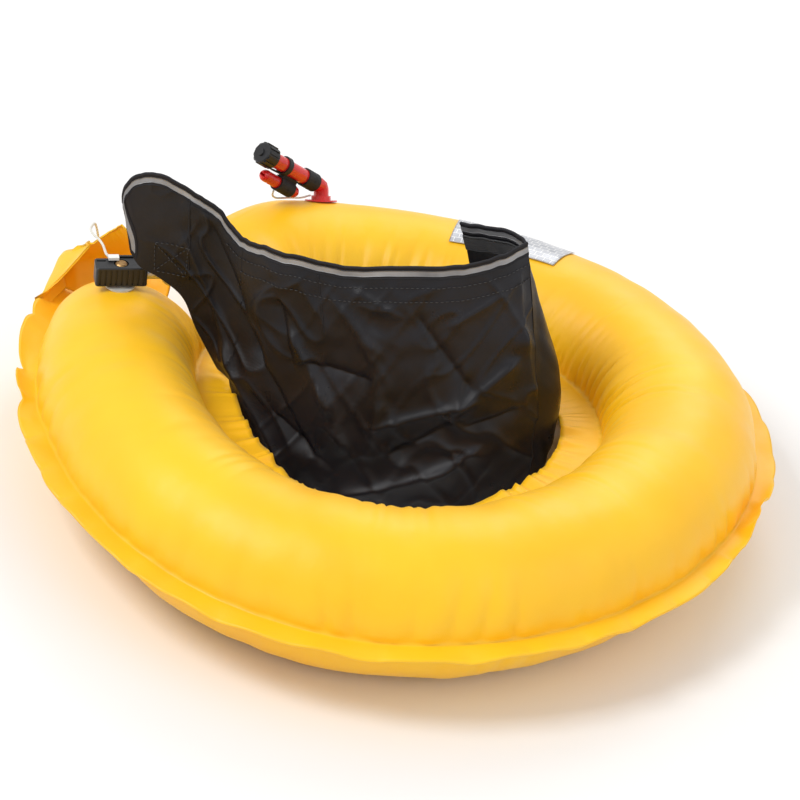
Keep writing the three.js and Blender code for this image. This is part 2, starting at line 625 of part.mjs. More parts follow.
// Ring round the tube and the strap that runs from it to the cap.
function capTether() {
  const band = pipe(TETHER_RADIUS + 1.4, TETHER_RADIUS, TETHER_PLACE, TETHER_PLACE + 5);
  const section = new THREE.Shape();
  section.moveTo(-2.6, -0.6).lineTo(2.6, -0.6).lineTo(2.6, 0.6).lineTo(-2.6, 0.6).closePath();
  const out = -TETHER_RADIUS - 0.8;
  const path = new THREE.CatmullRomCurve3([V3(out, 0, TETHER_PLACE + 2), V3(out - 0.4, 0, TETHER_PLACE + 10),
    V3(out - 0.6, 0, CAP_START - 5), V3(out, 0, CAP_START - GAP)]);
  const strap = new THREE.ExtrudeGeometry(section, { steps: 8, extrudePath: path });
  return boolean(band, [strap]);
}

const WHISTLE_AXIS = -(ORAL_RADIUS + GAP + HOLDER_WALL + 2.2 + WHISTLE_RADIUS);
const WHISTLE_START = TUBE_START + 12;
const HOLDER_START = TUBE_START + 22;
const HOLDER_LENGTH = 20;

// A flat whistle: a round-ended bar with a sound window and a mouth slot.
function whistle() {
  const r = WHISTLE_RADIUS;
  const z1 = WHISTLE_START + WHISTLE_LENGTH;
  const profile = [[0, WHISTLE_START]];
  for (const s of range(4).slice(1)) {
    profile.push([r * Math.sin((s * Math.PI) / 2), WHISTLE_START + r * (1 - Math.cos((s * Math.PI) / 2))]);
  }
  for (const s of range(4)) {
    profile.push([r * Math.cos((s * Math.PI) / 2), z1 - r + r * Math.sin((s * Math.PI) / 2)]);
  }
  profile[profile.length - 1][0] = 0;
  const bore = rod(r - 2, WHISTLE_START + 7, WHISTLE_START + 20, 12);
  const window = block(-r, 0, z1 - 11, 5, 5, 4);
  const eye = alongY(rod(1.1, -r - 1, r + 1, 10), 0, WHISTLE_START + 3);
  const mouth = block(0, 0, z1, 2.2, 7, 16);
  return boolean(turned(profile, 20), [], [window, eye, mouth]).translate(WHISTLE_AXIS, 0, 0);
}

// Elastic sleeve that the whistle pushes into, on a saddle under the tube.
function whistleHolder() {
  const r = WHISTLE_RADIUS + GAP;
  const sleeve = rod(r + HOLDER_WALL, HOLDER_START, HOLDER_START + HOLDER_LENGTH);
  const hole = rod(r, HOLDER_START - 1, HOLDER_START + HOLDER_LENGTH + 1);
  const middle = HOLDER_START + HOLDER_LENGTH / 2;
  const saddle = block(-WHISTLE_AXIS - ORAL_RADIUS - 1.4, 0, middle, 3.6, 6, HOLDER_LENGTH);
  const tubeCut = rod(ORAL_RADIUS + GAP, HOLDER_START - 1, HOLDER_START + HOLDER_LENGTH + 1);
  tubeCut.translate(-WHISTLE_AXIS, 0, 0);
  return boolean(sleeve, [saddle], [hole, tubeCut]).translate(WHISTLE_AXIS, 0, 0);
}

add(oral, 'oral_elbow', oralElbow(), RED_PLASTIC);
add(oral, 'oral_tube', pipe(ORAL_RADIUS, BORE, TUBE_START, TUBE_END), RED_PLASTIC);
const retainingSleeve = pipe(ORAL_RADIUS + GAP + 1.4, ORAL_RADIUS + GAP, TUBE_START + 1, TUBE_START + 17);
add(oral, 'retaining_sleeve', retainingSleeve, BLACK_NYLON);
add(oral, 'valve_seat', valveSeat(), WHITE_PLASTIC);
const poppetSeal = pipe(3.8, POPPET_STEM + GAP, SEAT_PLACE - 1.3 - GAP, SEAT_PLACE - GAP);
add(oral, 'poppet_seal', poppetSeal, CLEAR_RUBBER);
add(oral, 'valve_poppet', valvePoppet(), WHITE_PLASTIC);
add(oral, 'valve_spring', coilSpring(2, 0.35, SEAT_PLACE + SEAT_THICKNESS + GAP,
  SEAT_PLACE + SEAT_THICKNESS + 7.6 - GAP, 4), STEEL);
add(oral, 'dust_cap', dustCap(), BLACK_PLASTIC);
add(oral, 'cap_tether', capTether(), BLACK_PLASTIC);
add(oral, 'whistle_body', whistle(), RED_PLASTIC);
add(oral, 'whistle_holder', whistleHolder(), BLACK_NYLON);

// ---------- pouch ----------
// Each row is a line from the pouch's foot to its top edge: plan places, and heights above the
// surface that the ring lies on. Plan places are given for the ring's own radius.
const DRAWN_RADIUS = 238.3;
const planScale = RING_RADIUS / DRAWN_RADIUS;
const pouchPoint = ([x, y, h]) => V3(x * planScale, y * planScale, h - TUBE_HALF_HEIGHT);

const WING = [
  { top: [-251, 36, 234], foot: [-238, 34, 170] },
  { top: [-236, 36, 243], foot: [-229, 33, 158] },
  { top: [-215, 36, 244], foot: [-213, 35, 149] },
  { top: [-192, 36, 234], foot: [-192, 37, 132] },
];
const FRONT = [
  { top: [-191.4, 36, 233], foot: [-191.4, 37, 130] },
  { top: [-173, 35, 226], foot: [-172, 36, 104] },
  { top: [-156, 30, 211], foot: [-157, 32, 76] },
  { top: [-141, 18, 205], foot: [-138, 11, 57] },
  { top: [-120, 5, 208], foot: [-124, -6, 38] },
  { top: [-88, -4, 209], foot: [-104, -20, 10] },
  { top: [-55, -7, 208], foot: [-84, -32, 1] },
  { top: [-12, -8, 216], foot: [-14, -48, 1] },
  { top: [38, -4, 224], foot: [50, -46, 1] },
  { top: [68, 5, 231], foot: [92, -34, 1] },
  { top: [88, 24, 236], foot: [120, -8, 1] },
];
const END = [
  { top: [89, 25, 236], middle: [113, 3, 119], foot: [122, -7, 1] },
  { top: [80, 36, 237], middle: [134, 22, 104], foot: [130, 25, 1] },
  { top: [66, 42, 237], middle: [134, 46, 98], foot: [120, 54, 1] },
  { top: [50, 45, 235], middle: [108, 70, 96], foot: [98, 76, 1] },
  { top: [33, 50, 233], middle: [66, 80, 100], foot: [64, 88, 1] },
];

// Foot of the pouch: over the ring it stays clear of the fabric.
function footOf(point) {
  const top = ringTop(point.x, point.y);
  const lowest = top === null ? -TUBE_HALF_HEIGHT + POUCH_FLOOR_GAP : top + POUCH_CLEARANCE;
  return V3(point.x, point.y, Math.max(point.z, lowest));
}

function pouchGrid(rows, columns, heights) {
  const curve = (key) => new THREE.CatmullRomCurve3(rows.map((row) => pouchPoint(row[key])));
  const top = curve('top').getPoints(columns);
  const foot = curve('foot').getPoints(columns).map(footOf);
  const middle = rows[0].middle ? curve('middle').getPoints(columns) : null;
  return top.map((high, i) => heights.map((v) => {
    if (!middle) return foot[i].clone().lerp(high, v);
    // a parabola through foot, middle and top
    const a = foot[i].clone().multiplyScalar((1 - v) * (1 - 2 * v));
    const b = middle[i].clone().multiplyScalar(4 * v * (1 - v));
    return a.add(b).add(high.clone().multiplyScalar(v * (2 * v - 1)));
  }));
}

// A band along the pouch's top edge: from low to high, in millimetres below the edge.
function bandGrid(rows, columns, low, high) {
  const grid = pouchGrid(rows, columns, range(POUCH_LINES));
  return grid.map((line) => {
    const edge = line[line.length - 1];
    const down = line[line.length - 2].clone().sub(edge).normalize();
    return [high, (low + high) / 2, low].map((drop) => edge.clone().addScaledVector(down, drop));
  });
}

// Sheet against one face of a pouch panel: side is 1 on the face towards the front of the ring.
function onPanel(grid, side, thickness) {
  const near = POUCH_FABRIC / 2 + 2 * GAP;
  return offsetSheet(grid, side > 0 ? near : -near - thickness, thickness);
}

const ANCHOR_WIDTH = 25;
const ANCHOR_PLACE = -204;
const ANCHOR_THICKNESS = 1.5;

// Webbing sewn on the back of the wing that comes down to the ring's inner slope.
function wingAnchor() {
  const back = 38.4;
  const grid = range(4).map((u) => {
    const x = (ANCHOR_PLACE + ANCHOR_WIDTH * (u - 0.5)) * planScale;
    const lie = (place) => V3(x, place * planScale, ringTop(x, place * planScale) + 2 * GAP);
    const low = lie(back + 2).z;
    const y = back * planScale;
    const hang = [205, 190, 175, 160, 145].map((h) => V3(x, y, h - TUBE_HALF_HEIGHT));
    const turn = [V3(x, y + 0.3, low + 8), V3(x, y + 1.5, low + 2)];
    return [...hang, ...turn, lie(back + 5), lie(back + 9), lie(back + 13)];
  });
  return offsetSheet(grid, 0, ANCHOR_THICKNESS);
}

const WING_COLUMNS = 6;
const FRONT_COLUMNS = 30;
const END_COLUMNS = 14;
const panel = (rows, columns) =>
  offsetSheet(pouchGrid(rows, columns, range(POUCH_LINES)), -POUCH_FABRIC / 2, POUCH_FABRIC);
const tapeGrid = (rows, columns) => bandGrid(rows, columns, 1, 1 + TAPE_WIDTH);
const stripGrid = (rows, columns) => bandGrid(rows, columns, STRIP_PLACE, STRIP_PLACE + STRIP_WIDTH);
const hookGrid = stripGrid(FRONT, FRONT_COLUMNS).slice(17, 29);
const loopGrid = stripGrid(END, END_COLUMNS).slice(4);
add(ring, 'wing_anchor_webbing', wingAnchor(), BLACK_NYLON);
add(ring, 'wing_edge_tape', onPanel(tapeGrid(WING, WING_COLUMNS), 1, TAPE_THICKNESS), GREY_TAPE);
add(ring, 'front_edge_tape', onPanel(tapeGrid(FRONT, FRONT_COLUMNS), 1, TAPE_THICKNESS), GREY_TAPE);
add(ring, 'end_edge_tape', onPanel(tapeGrid(END, END_COLUMNS).slice(2), -1, TAPE_THICKNESS), GREY_TAPE);
add(ring, 'hook_strip', onPanel(hookGrid, -1, STRIP_THICKNESS), FUZZ);
add(ring, 'loop_strip', onPanel(loopGrid, -1, STRIP_THICKNESS), FUZZ);
add(ring, 'pouch_wing', panel(WING, WING_COLUMNS), BLACK_NYLON);
add(ring, 'pouch_front_panel', panel(FRONT, FRONT_COLUMNS), BLACK_NYLON);
add(ring, 'pouch_end_panel', panel(END, END_COLUMNS), BLACK_NYLON);

// ---------- cords ----------
// Points in the ring's own coordinates.
const PULL_CORD_RADIUS = 1.1;
const PULL_CORD = [
  [-257, 50.3, 85.8], [-260.5, 53.5, 87], [-266, 68, 86.5], [-273, 88, 80.5], [-280, 102, 76.5],
  [-284, 113, 74], [-285, 124, 71.5], [-284, 135, 68], [-282, 144, 52], [-281, 149, 34],
  [-280, 151, 14], [-280, 151.5, -6], [-280, 151.5, -26],
];
const LANYARD_RADIUS = 0.9;
const LANYARD = [
  [-136.2, 221.2, 78.6], [-136.8, 222.4, 73.5], [-134, 227, 68.5], [-128, 233, 66], [-122, 240, 63.5],
  [-116, 247, 60.5], [-111, 252, 59], [-106, 253, 61], [-104.2, 253, 61.6],
];
const HANDLE_RADIUS = 6;
const HANDLE_LENGTH = 26;

function pullHandle() {
  const end = PULL_CORD[PULL_CORD.length - 1];
  const z0 = -HANDLE_LENGTH - GAP;
  const profile = [[0, z0], [HANDLE_RADIUS - 2, z0], [HANDLE_RADIUS, z0 + 2], [HANDLE_RADIUS, z0 + 8],
    [HANDLE_RADIUS - 2, z0 + 12], [2.2, -GAP - 2], [1.8, -GAP], [0, -GAP]];
  return turned(profile).translate(...end);
}

const route = (points) => points.map(([x, y, z]) => V3(x, y, z));
add(ring, 'pull_cord', tube(route(PULL_CORD), PULL_CORD_RADIUS, 8, 44), WHITE_CORD);
add(ring, 'pull_handle', pullHandle(), YELLOW);
add(ring, 'whistle_lanyard', tube(route(LANYARD), LANYARD_RADIUS, 8, 24), WHITE_CORD);

export default jacket;
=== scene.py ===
import math

import bpy
import numpy as np
from mathutils import Matrix, Vector


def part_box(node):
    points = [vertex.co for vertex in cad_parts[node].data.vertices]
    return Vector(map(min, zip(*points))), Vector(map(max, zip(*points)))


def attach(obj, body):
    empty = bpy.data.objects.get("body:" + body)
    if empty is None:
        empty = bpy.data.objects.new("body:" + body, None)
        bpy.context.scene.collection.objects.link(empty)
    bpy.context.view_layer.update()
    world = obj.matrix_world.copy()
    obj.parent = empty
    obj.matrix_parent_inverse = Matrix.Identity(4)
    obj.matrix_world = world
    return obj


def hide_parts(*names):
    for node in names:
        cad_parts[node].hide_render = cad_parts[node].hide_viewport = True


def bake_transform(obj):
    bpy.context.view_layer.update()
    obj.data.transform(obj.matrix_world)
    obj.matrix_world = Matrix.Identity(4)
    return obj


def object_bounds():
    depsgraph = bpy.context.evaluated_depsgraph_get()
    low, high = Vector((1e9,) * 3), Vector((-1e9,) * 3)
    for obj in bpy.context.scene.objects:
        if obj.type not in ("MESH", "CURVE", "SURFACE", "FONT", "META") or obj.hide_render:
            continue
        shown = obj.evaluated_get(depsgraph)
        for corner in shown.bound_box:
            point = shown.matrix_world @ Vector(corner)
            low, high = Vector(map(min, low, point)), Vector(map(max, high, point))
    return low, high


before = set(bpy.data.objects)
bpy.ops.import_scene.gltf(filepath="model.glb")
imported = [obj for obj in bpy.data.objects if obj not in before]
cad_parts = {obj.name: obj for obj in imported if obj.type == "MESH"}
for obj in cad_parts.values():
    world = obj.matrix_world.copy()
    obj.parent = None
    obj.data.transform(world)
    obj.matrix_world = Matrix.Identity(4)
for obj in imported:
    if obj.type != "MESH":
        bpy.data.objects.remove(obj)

CAD_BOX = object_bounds()
MM = 0.001

# ---------------------------------------------------------------- sizes, in millimetres
# The ring's own numbers, as the CAD builds it.
RING_RADIUS = 238.3
OVAL, OVAL_ANGLE = 0.024, -26.0
TRIAD, TRIAD_ANGLE = 0.038, 22.5
HALF_WIDTH, HALF_HEIGHT = 66.0, 65.5
OUTER_FLANGE, INNER_FLANGE, END_FLANGE = 20.6, 36.0, 18.0
CAD_INNER_FLANGE = 30                             # the pouch stands clear of this narrower one
END_A, END_B = 159.5, 132.5
NOSE, NOSE_ROUNDING = 62.0, 14.0
CENTRE = np.array([-2.5, 7.8, HALF_HEIGHT])      # of the ring, on its flange
FLANGE_HALF = 0.9                                 # half of the welded flange's thickness
PATCH_START, PATCH_LENGTH, PATCH_WIDTH = 82.0, 101.0, 43.0
POUCH_FABRIC = 1.6
FACE = POUCH_FABRIC / 2                           # from the middle of the cloth to either face
# Distances down from the top edge of the cloth: from, to.
STRIPE, BOUND_EDGE, STRIP = (2.2, 6.8), (-0.2, 9.2), (12, 28)
POUCH_CLEARANCE = 3.5
CORD_RADIUS, LANYARD_RADIUS = 1.1, 0.9

PULL_CORD = [
    (-257, 50.3, 85.8), (-260.5, 53.5, 87), (-266, 68, 86.5), (-273, 88, 80.5), (-280, 102, 76.5),
    (-284, 113, 74), (-285, 124, 71.5), (-284, 135, 68), (-282, 144, 52), (-281, 149, 34),
    (-280, 151, 14), (-280, 151.5, -6), (-280, 151.5, -26)]
LANYARD = [
    (-136.2, 221.2, 78.6), (-136.8, 222.4, 73.5), (-134, 227, 68.5), (-128, 233, 66), (-122, 240, 63.5),
    (-116, 247, 60.5), (-111, 252, 59), (-106, 253, 61), (-104.2, 253, 61.6)]

# Rows of the pouch, from foot to top edge: plan places, and heights above the floor.
WING = [((-251, 36, 234), (-238, 34, 170)), ((-236, 36, 243), (-229, 33, 158)),
        ((-215, 36, 244), (-213, 35, 149)), ((-192, 36, 234), (-192, 37, 132))]
FRONT = [((-191.4, 36, 233), (-193, 37, 128)), ((-173, 35, 226), (-177, 36, 102)),
         ((-156, 30, 211), (-160, 32, 76)), ((-141, 18, 205), (-138, 11, 57)),
         ((-120, 5, 208), (-124, -6, 38)), ((-88, -4, 209), (-104, -20, 10)),
         ((-55, -7, 208), (-84, -32, 1)), ((-12, -8, 216), (-14, -48, 1)),
         ((38, -4, 224), (50, -46, 1)), ((68, 5, 231), (92, -34, 1)), ((88, 24, 236), (120, -8, 1))]
END = [((89, 25, 236), (122, -7, 1), (113, 3, 119)), ((80, 36, 237), (130, 25, 1), (134, 22, 104)),
       ((66, 42, 237), (120, 54, 1), (134, 46, 98)), ((50, 45, 235), (98, 76, 1), (108, 70, 96)),
       ((33, 50, 233), (64, 88, 1), (66, 80, 100))]


# ---------------------------------------------------------------- curves, noise and meshes
def catmull(points, t):
    """Centripetal Catmull-Rom curve through points, at values of t from 0 to 1."""
    p = np.asarray(points, float)
    p = np.vstack([2 * p[0] - p[1], p, 2 * p[-1] - p[-2]])
    spans = len(p) - 3
    x = np.clip(np.asarray(t, float), 0, 1) * spans
    i = np.minimum(x.astype(int), spans - 1)
    w = (x - i)[:, None]
    p0, p1, p2, p3 = p[i], p[i + 1], p[i + 2], p[i + 3]

    def span(a, b):
        return np.maximum(np.sqrt(np.linalg.norm(b - a, axis=1)), 1e-4)[:, None]

    d0, d1, d2 = span(p0, p1), span(p1, p2), span(p2, p3)
    m1 = ((p1 - p0) / d0 - (p2 - p0) / (d0 + d1) + (p2 - p1) / d1) * d1
    m2 = ((p2 - p1) / d1 - (p3 - p1) / (d1 + d2) + (p3 - p2) / d2) * d1
    c2 = -3 * p1 + 3 * p2 - 2 * m1 - m2
    c3 = 2 * p1 - 2 * p2 + m1 + m2
    return p1 + m1 * w + c2 * w ** 2 + c3 * w ** 3


def noise(x, seed):
    """Smooth noise of one variable, from -1 to 1, with knots at whole numbers."""
    x = np.asarray(x, float)
    knots = np.random.default_rng(seed).uniform(-1, 1, 997)
    i = np.floor(x).astype(int)
    w = x - i
    w = w * w * (3 - 2 * w)
    return knots[i % 997] * (1 - w) + knots[(i + 1) % 997] * w


def noise2(x, y, seed):
    """Smooth noise of two variables, from -1 to 1."""
    knots = np.random.default_rng(seed).uniform(-1, 1, (211, 197))
    x, y = np.broadcast_arrays(np.asarray(x, float), np.asarray(y, float))
    i, j = np.floor(x).astype(int), np.floor(y).astype(int)
    u, v = x - i, y - j
    u, v = u * u * (3 - 2 * u), v * v * (3 - 2 * v)

    def at(a, b):
        return knots[(i + a) % 211, (j + b) % 197]

    return (at(0, 0) * (1 - u) * (1 - v) + at(1, 0) * u * (1 - v)
            + at(0, 1) * (1 - u) * v + at(1, 1) * u * v)


def normals(grid):
    along = np.gradient(grid, axis=0)
    across = np.gradient(grid, axis=1)
    n = np.cross(along, across)
    return n / np.maximum(np.linalg.norm(n, axis=2, keepdims=True), 1e-9)


def make(name, verts, faces, material, body="ring", uv=None, smooth=True):
    """An object from vertices in millimetres. uv has one pair for each vertex, in metres."""
    mesh = bpy.data.meshes.new(name)
    mesh.from_pydata((np.asarray(verts) * MM).tolist(), [], [list(map(int, f)) for f in faces])
    if uv is not None:
        layer = mesh.uv_layers.new(name="surface")
        index = np.empty(len(mesh.loops), int)
        mesh.loops.foreach_get("vertex_index", index)
        layer.data.foreach_set("uv", np.asarray(uv)[index].astype(np.float32).ravel())
    mesh.polygons.foreach_set("use_smooth", [smooth] * len(mesh.polygons))
    mesh.materials.append(material)
    mesh.validate()
    mesh.update()
    obj = bpy.data.objects.new(name, mesh)
    bpy.context.scene.collection.objects.link(obj)
    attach(obj, body)
    return obj


def grid_uv(grid):
    """Places on a sheet in metres, from the lengths along its middle row and column."""
    def lengths(line):
        return np.concatenate([[0], np.cumsum(np.linalg.norm(np.diff(line, axis=0), axis=1))])
    u = lengths(grid[:, grid.shape[1] // 2])
    v = lengths(grid[grid.shape[0] // 2])
    return np.stack(np.meshgrid(u, v, indexing="ij"), axis=2) * MM


def sheet_faces(rows, columns, offset=0, flip=False):
    i, j = np.meshgrid(np.arange(rows - 1), np.arange(columns - 1), indexing="ij")
    a = offset + (i * columns + j).ravel()
    f = np.stack([a, a + columns, a + columns + 1, a + 1], axis=1)
    return f[:, ::-1] if flip else f


def closed_sheet(name, grid, near, far, material, body="ring"):
    """A closed sheet whose two faces lie near and far off the grid, with a rounded edge."""
    n = normals(grid)
    rows, columns = grid.shape[:2]
    front, back = grid + n * near, grid + n * far
    middle = (front + back) / 2
    size = rows * columns
    verts = np.vstack([front.reshape(-1, 3), back.reshape(-1, 3)])
    faces = [sheet_faces(rows, columns, 0, True), sheet_faces(rows, columns, size)]
    ids = np.arange(size).reshape(rows, columns)
    loop = np.concatenate([ids[0, :], ids[1:, -1], ids[-1, -2::-1], ids[-2:0:-1, 0]])
    out = middle.reshape(-1, 3)[loop]
    inner = np.vstack([middle[1, :], middle[1:, -2], middle[-2, -2::-1], middle[-2:0:-1, 1]])
    away = out - inner
    away /= np.maximum(np.linalg.norm(away, axis=1, keepdims=True), 1e-9)
    rim = out + away * abs(far - near) * 0.35
    start = len(verts)
    verts = np.vstack([verts, rim])
    r = start + np.arange(len(loop))
    nxt, rn = np.roll(loop, -1), np.roll(r, -1)
    faces.append(np.stack([loop, nxt, rn, r], axis=1))
    faces.append(np.stack([r, rn, nxt + size, loop + size], axis=1))
    uv = grid_uv(grid).reshape(-1, 2)
    uv = np.vstack([uv, uv, uv[loop]])
    return make(name, verts, np.vstack(faces), material, body, uv)


# ---------------------------------------------------------------- the ring's coordinates
def centre_radius(a):
    return RING_RADIUS * (1 + OVAL * np.cos(np.radians(2 * (a - OVAL_ANGLE)))
                          + TRIAD * np.cos(np.radians(3 * (a - TRIAD_ANGLE))))


def centre_point(a):
    r = centre_radius(a)
    return np.stack([r * np.cos(np.radians(a)), r * np.sin(np.radians(a))], axis=-1)


def outward(a):
    t = centre_point(a + 0.5) - centre_point(a - 0.5)
    t /= np.linalg.norm(t, axis=-1, keepdims=True)
    return np.stack([t[..., 1], -t[..., 0]], axis=-1)


def ring_point(a, n, z):
    p = centre_point(a) + outward(a) * np.asarray(n)[..., None]
    return np.concatenate([p, np.asarray(z)[..., None] * np.ones_like(p[..., :1])], axis=-1) + CENTRE


DEGREES_PER_MM = float(1 / (centre_radius(END_A) * math.pi / 180))


def nose_share(d):
    return np.sqrt(1 - (1 - np.clip(d / NOSE, 0, 1)) ** 2)


def end_rounding(n):
    return NOSE_ROUNDING * (1 - np.minimum(1, (n / HALF_WIDTH) ** 2))


def ring_top(x, y):
    """Height of the ring's top over plan places, or -inf where there is none."""
    a = np.degrees(np.arctan2(y, x))
    p = np.stack([x, y], axis=-1)
    for _ in range(4):
        away, out = p - centre_point(a), outward(a)
        a = a + (away[..., 1] * out[..., 0] - away[..., 0] * out[..., 1]) / (centre_radius(a) * math.pi / 180)
    n = ((p - centre_point(a)) * outward(a)).sum(axis=-1)
    rounding = end_rounding(n)
    along = (a - END_A) / DEGREES_PER_MM + rounding
    share = np.where(a > 0, nose_share(NOSE * along / (NOSE + rounding)), 1)
    arch = np.sqrt(np.maximum(0, 1 - (n / HALF_WIDTH) ** 2))
    top = 1.4 + (HALF_HEIGHT - 1.4) * share * arch
    flange = (n < 0) & (n > -(HALF_WIDTH + CAD_INNER_FLANGE + POUCH_CLEARANCE))
    return np.where(np.abs(n) < HALF_WIDTH, top, np.where(flange, 1.5, -np.inf))


# ---------------------------------------------------------------- materials
class Nodes:
    """Short names for building a material's nodes."""

    def __init__(self, name, roughness, metallic=0.0):
        self.material = bpy.data.materials.new(name)
        self.material.use_nodes = True
        self.tree = self.material.node_tree
        self.shader = self.tree.nodes["Principled BSDF"]
        self.shader.inputs["Metallic"].default_value = metallic
        self.shader.inputs["Roughness"].default_value = roughness
        self.bumps = None

    def new(self, kind, **settings):
        node = self.tree.nodes.new(kind)
        for key, value in settings.items():
            setattr(node, key, value)
        return node

    def put(self, value, socket):
        if isinstance(value, bpy.types.NodeSocket):
            self.tree.links.new(value, socket)
        else:
            socket.default_value = value

    def math(self, operation, a, b=0.0, c=None):
        node = self.new("ShaderNodeMath", operation=operation)
        self.put(a, node.inputs[0])
        self.put(b, node.inputs[1])
        if c is not None:
            self.put(c, node.inputs[2])
        return node.outputs[0]

    def coords(self, kind="Object"):
        return self.new("ShaderNodeTexCoord").outputs[kind]

    def surface(self):
        return self.new("ShaderNodeUVMap", uv_map="surface").outputs["UV"]

    def split(self, vector):
        node = self.new("ShaderNodeSeparateXYZ")
        self.put(vector, node.inputs[0])
        return node.outputs

    def noise(self, vector, scale, detail=3.0, roughness=0.5):
        node = self.new("ShaderNodeTexNoise")
        self.put(vector, node.inputs["Vector"])
        node.inputs["Scale"].default_value = scale
        node.inputs["Detail"].default_value = detail
        node.inputs["Roughness"].default_value = roughness
        return node.outputs[0]

    def ramp(self, value, low, high, a=0.0, b=1.0):
        node = self.new("ShaderNodeMapRange", clamp=True)
        self.put(value, node.inputs["Value"])
        node.inputs["From Min"].default_value = low
        node.inputs["From Max"].default_value = high
        node.inputs["To Min"].default_value = a
        node.inputs["To Max"].default_value = b
        return node.outputs[0]

    def mix(self, factor, a, b):
        node = self.new("ShaderNodeMix", data_type="RGBA")
        self.put(factor, node.inputs[0])
        self.put(a, node.inputs[6])
        self.put(b, node.inputs[7])
        return node.outputs[2]

    def weave(self, pitch, vector=None):
        """Plain weave: two sets of threads of that pitch in metres."""
        u, v, _ = self.split(vector or self.surface())
        turn = 2 * math.pi / pitch
        a = self.math("SINE", self.math("MULTIPLY", u, turn))
        b = self.math("SINE", self.math("MULTIPLY", v, turn))
        return self.math("MULTIPLY", a, b)

    def bump(self, height, distance, strength=1.0):
        node = self.new("ShaderNodeBump")
        node.inputs["Strength"].default_value = strength
        node.inputs["Distance"].default_value = distance
        self.put(height, node.inputs["Height"])
        if self.bumps is not None:
            self.put(self.bumps, node.inputs["Normal"])
        self.bumps = node.outputs["Normal"]

    def done(self, colour, roughness=None):
        self.put(colour, self.shader.inputs["Base Color"])
        if roughness is not None:
            self.put(roughness, self.shader.inputs["Roughness"])
        if self.bumps is not None:
            self.put(self.bumps, self.shader.inputs["Normal"])
        return self.material


def yellow_fabric():
    """Coated nylon: faint weave under a satin film, with a slight orange shift in colour."""
    n = Nodes("yellow_coated_nylon", 0.42)
    place = n.coords()
    n.bump(n.weave(0.0011), 0.00006, 0.5)
    n.bump(n.noise(place, 55, 4, 0.6), 0.0009, 0.35)
    cloud = n.ramp(n.noise(place, 9, 4), 0.35, 0.65)
    colour = n.mix(cloud, (0.98, 0.505, 0.002, 1), (1.0, 0.565, 0.004, 1))
    n.shader.inputs["Sheen Weight"].default_value = 0.08
    return n.done(colour, n.ramp(n.noise(place, 30, 3), 0.3, 0.7, 0.36, 0.5))


def black_nylon(name="black_coated_nylon", pitch=0.0013, low=0.26, high=0.45):
    """Glossy black pack cloth."""
    n = Nodes(name, 0.35)
    place = n.coords()
    n.bump(n.weave(pitch), 0.0001, 0.6)
    n.bump(n.noise(place, 90, 3, 0.6), 0.0007, 0.3)
    worn = n.ramp(n.noise(place, 14, 4), 0.35, 0.7)
    colour = n.mix(worn, (0.0065, 0.0062, 0.0085, 1), (0.014, 0.013, 0.017, 1))
    n.shader.inputs["Specular IOR Level"].default_value = 0.3
    return n.done(colour, n.ramp(n.noise(place, 40, 3), 0.3, 0.7, low, high))


def webbing():
    """Woven strap: raised rows of chevrons."""
    n = Nodes("black_webbing", 0.6)
    u, _, v = n.split(n.coords())
    side = n.math("PINGPONG", u, 0.002)
    rows = n.math("SINE", n.math("MULTIPLY", n.math("ADD", v, side), 2 * math.pi / 0.0016))
    n.bump(rows, 0.0002, 0.8)
    colour = n.mix(n.ramp(rows, -1, 1), (0.008, 0.008, 0.01, 1), (0.02, 0.02, 0.023, 1))
    return n.done(colour)


def grey_tape():
    """Binding with a reflective stripe, of fine glass beads."""
    n = Nodes("grey_reflective_tape", 0.38, 0.25)
    place = n.coords()
    beads = n.noise(place, 900, 2)
    n.bump(beads, 0.00008, 0.6)
    n.bump(n.noise(place, 70, 3), 0.0006, 0.4)
    colour = n.mix(n.ramp(n.noise(place, 35, 3), 0.3, 0.7), (0.17, 0.17, 0.18, 1), (0.33, 0.33, 0.34, 1))
    return n.done(colour)


def silver_patch():
    """Retroreflective sheeting: bright cells between thin welded ribs."""
    n = Nodes("silver_reflective_patch", 0.3, 0.15)
    uv = n.surface()
    brick = n.new("ShaderNodeTexBrick", offset=0.5, offset_frequency=2)
    n.put(uv, brick.inputs["Vector"])
    brick.inputs["Scale"].default_value = 1.0
    brick.inputs["Brick Width"].default_value = 0.0074
    brick.inputs["Row Height"].default_value = 0.0062
    brick.inputs["Mortar Size"].default_value = 0.0006
    brick.inputs["Mortar Smooth"].default_value = 0.4
    brick.inputs["Color1"].default_value = (0.42, 0.43, 0.46, 1)
    brick.inputs["Color2"].default_value = (0.52, 0.53, 0.56, 1)
    brick.inputs["Mortar"].default_value = (0.78, 0.78, 0.78, 1)
    n.bump(brick.outputs["Fac"], 0.0004, 0.7)
    n.bump(n.noise(uv, 700, 2), 0.00008, 0.5)
    return n.done(brick.outputs["Color"])


def fuzz(name, dark, light, scale):
    """Hook or loop tape: a dense pile."""
    n = Nodes(name, 0.95)
    place = n.coords()
    pile = n.noise(place, scale, 6, 0.8)
    n.bump(pile, 0.0012, 1.0)
    n.shader.inputs["Sheen Weight"].default_value = 0.3
    return n.done(n.mix(n.ramp(pile, 0.35, 0.65), dark, light))


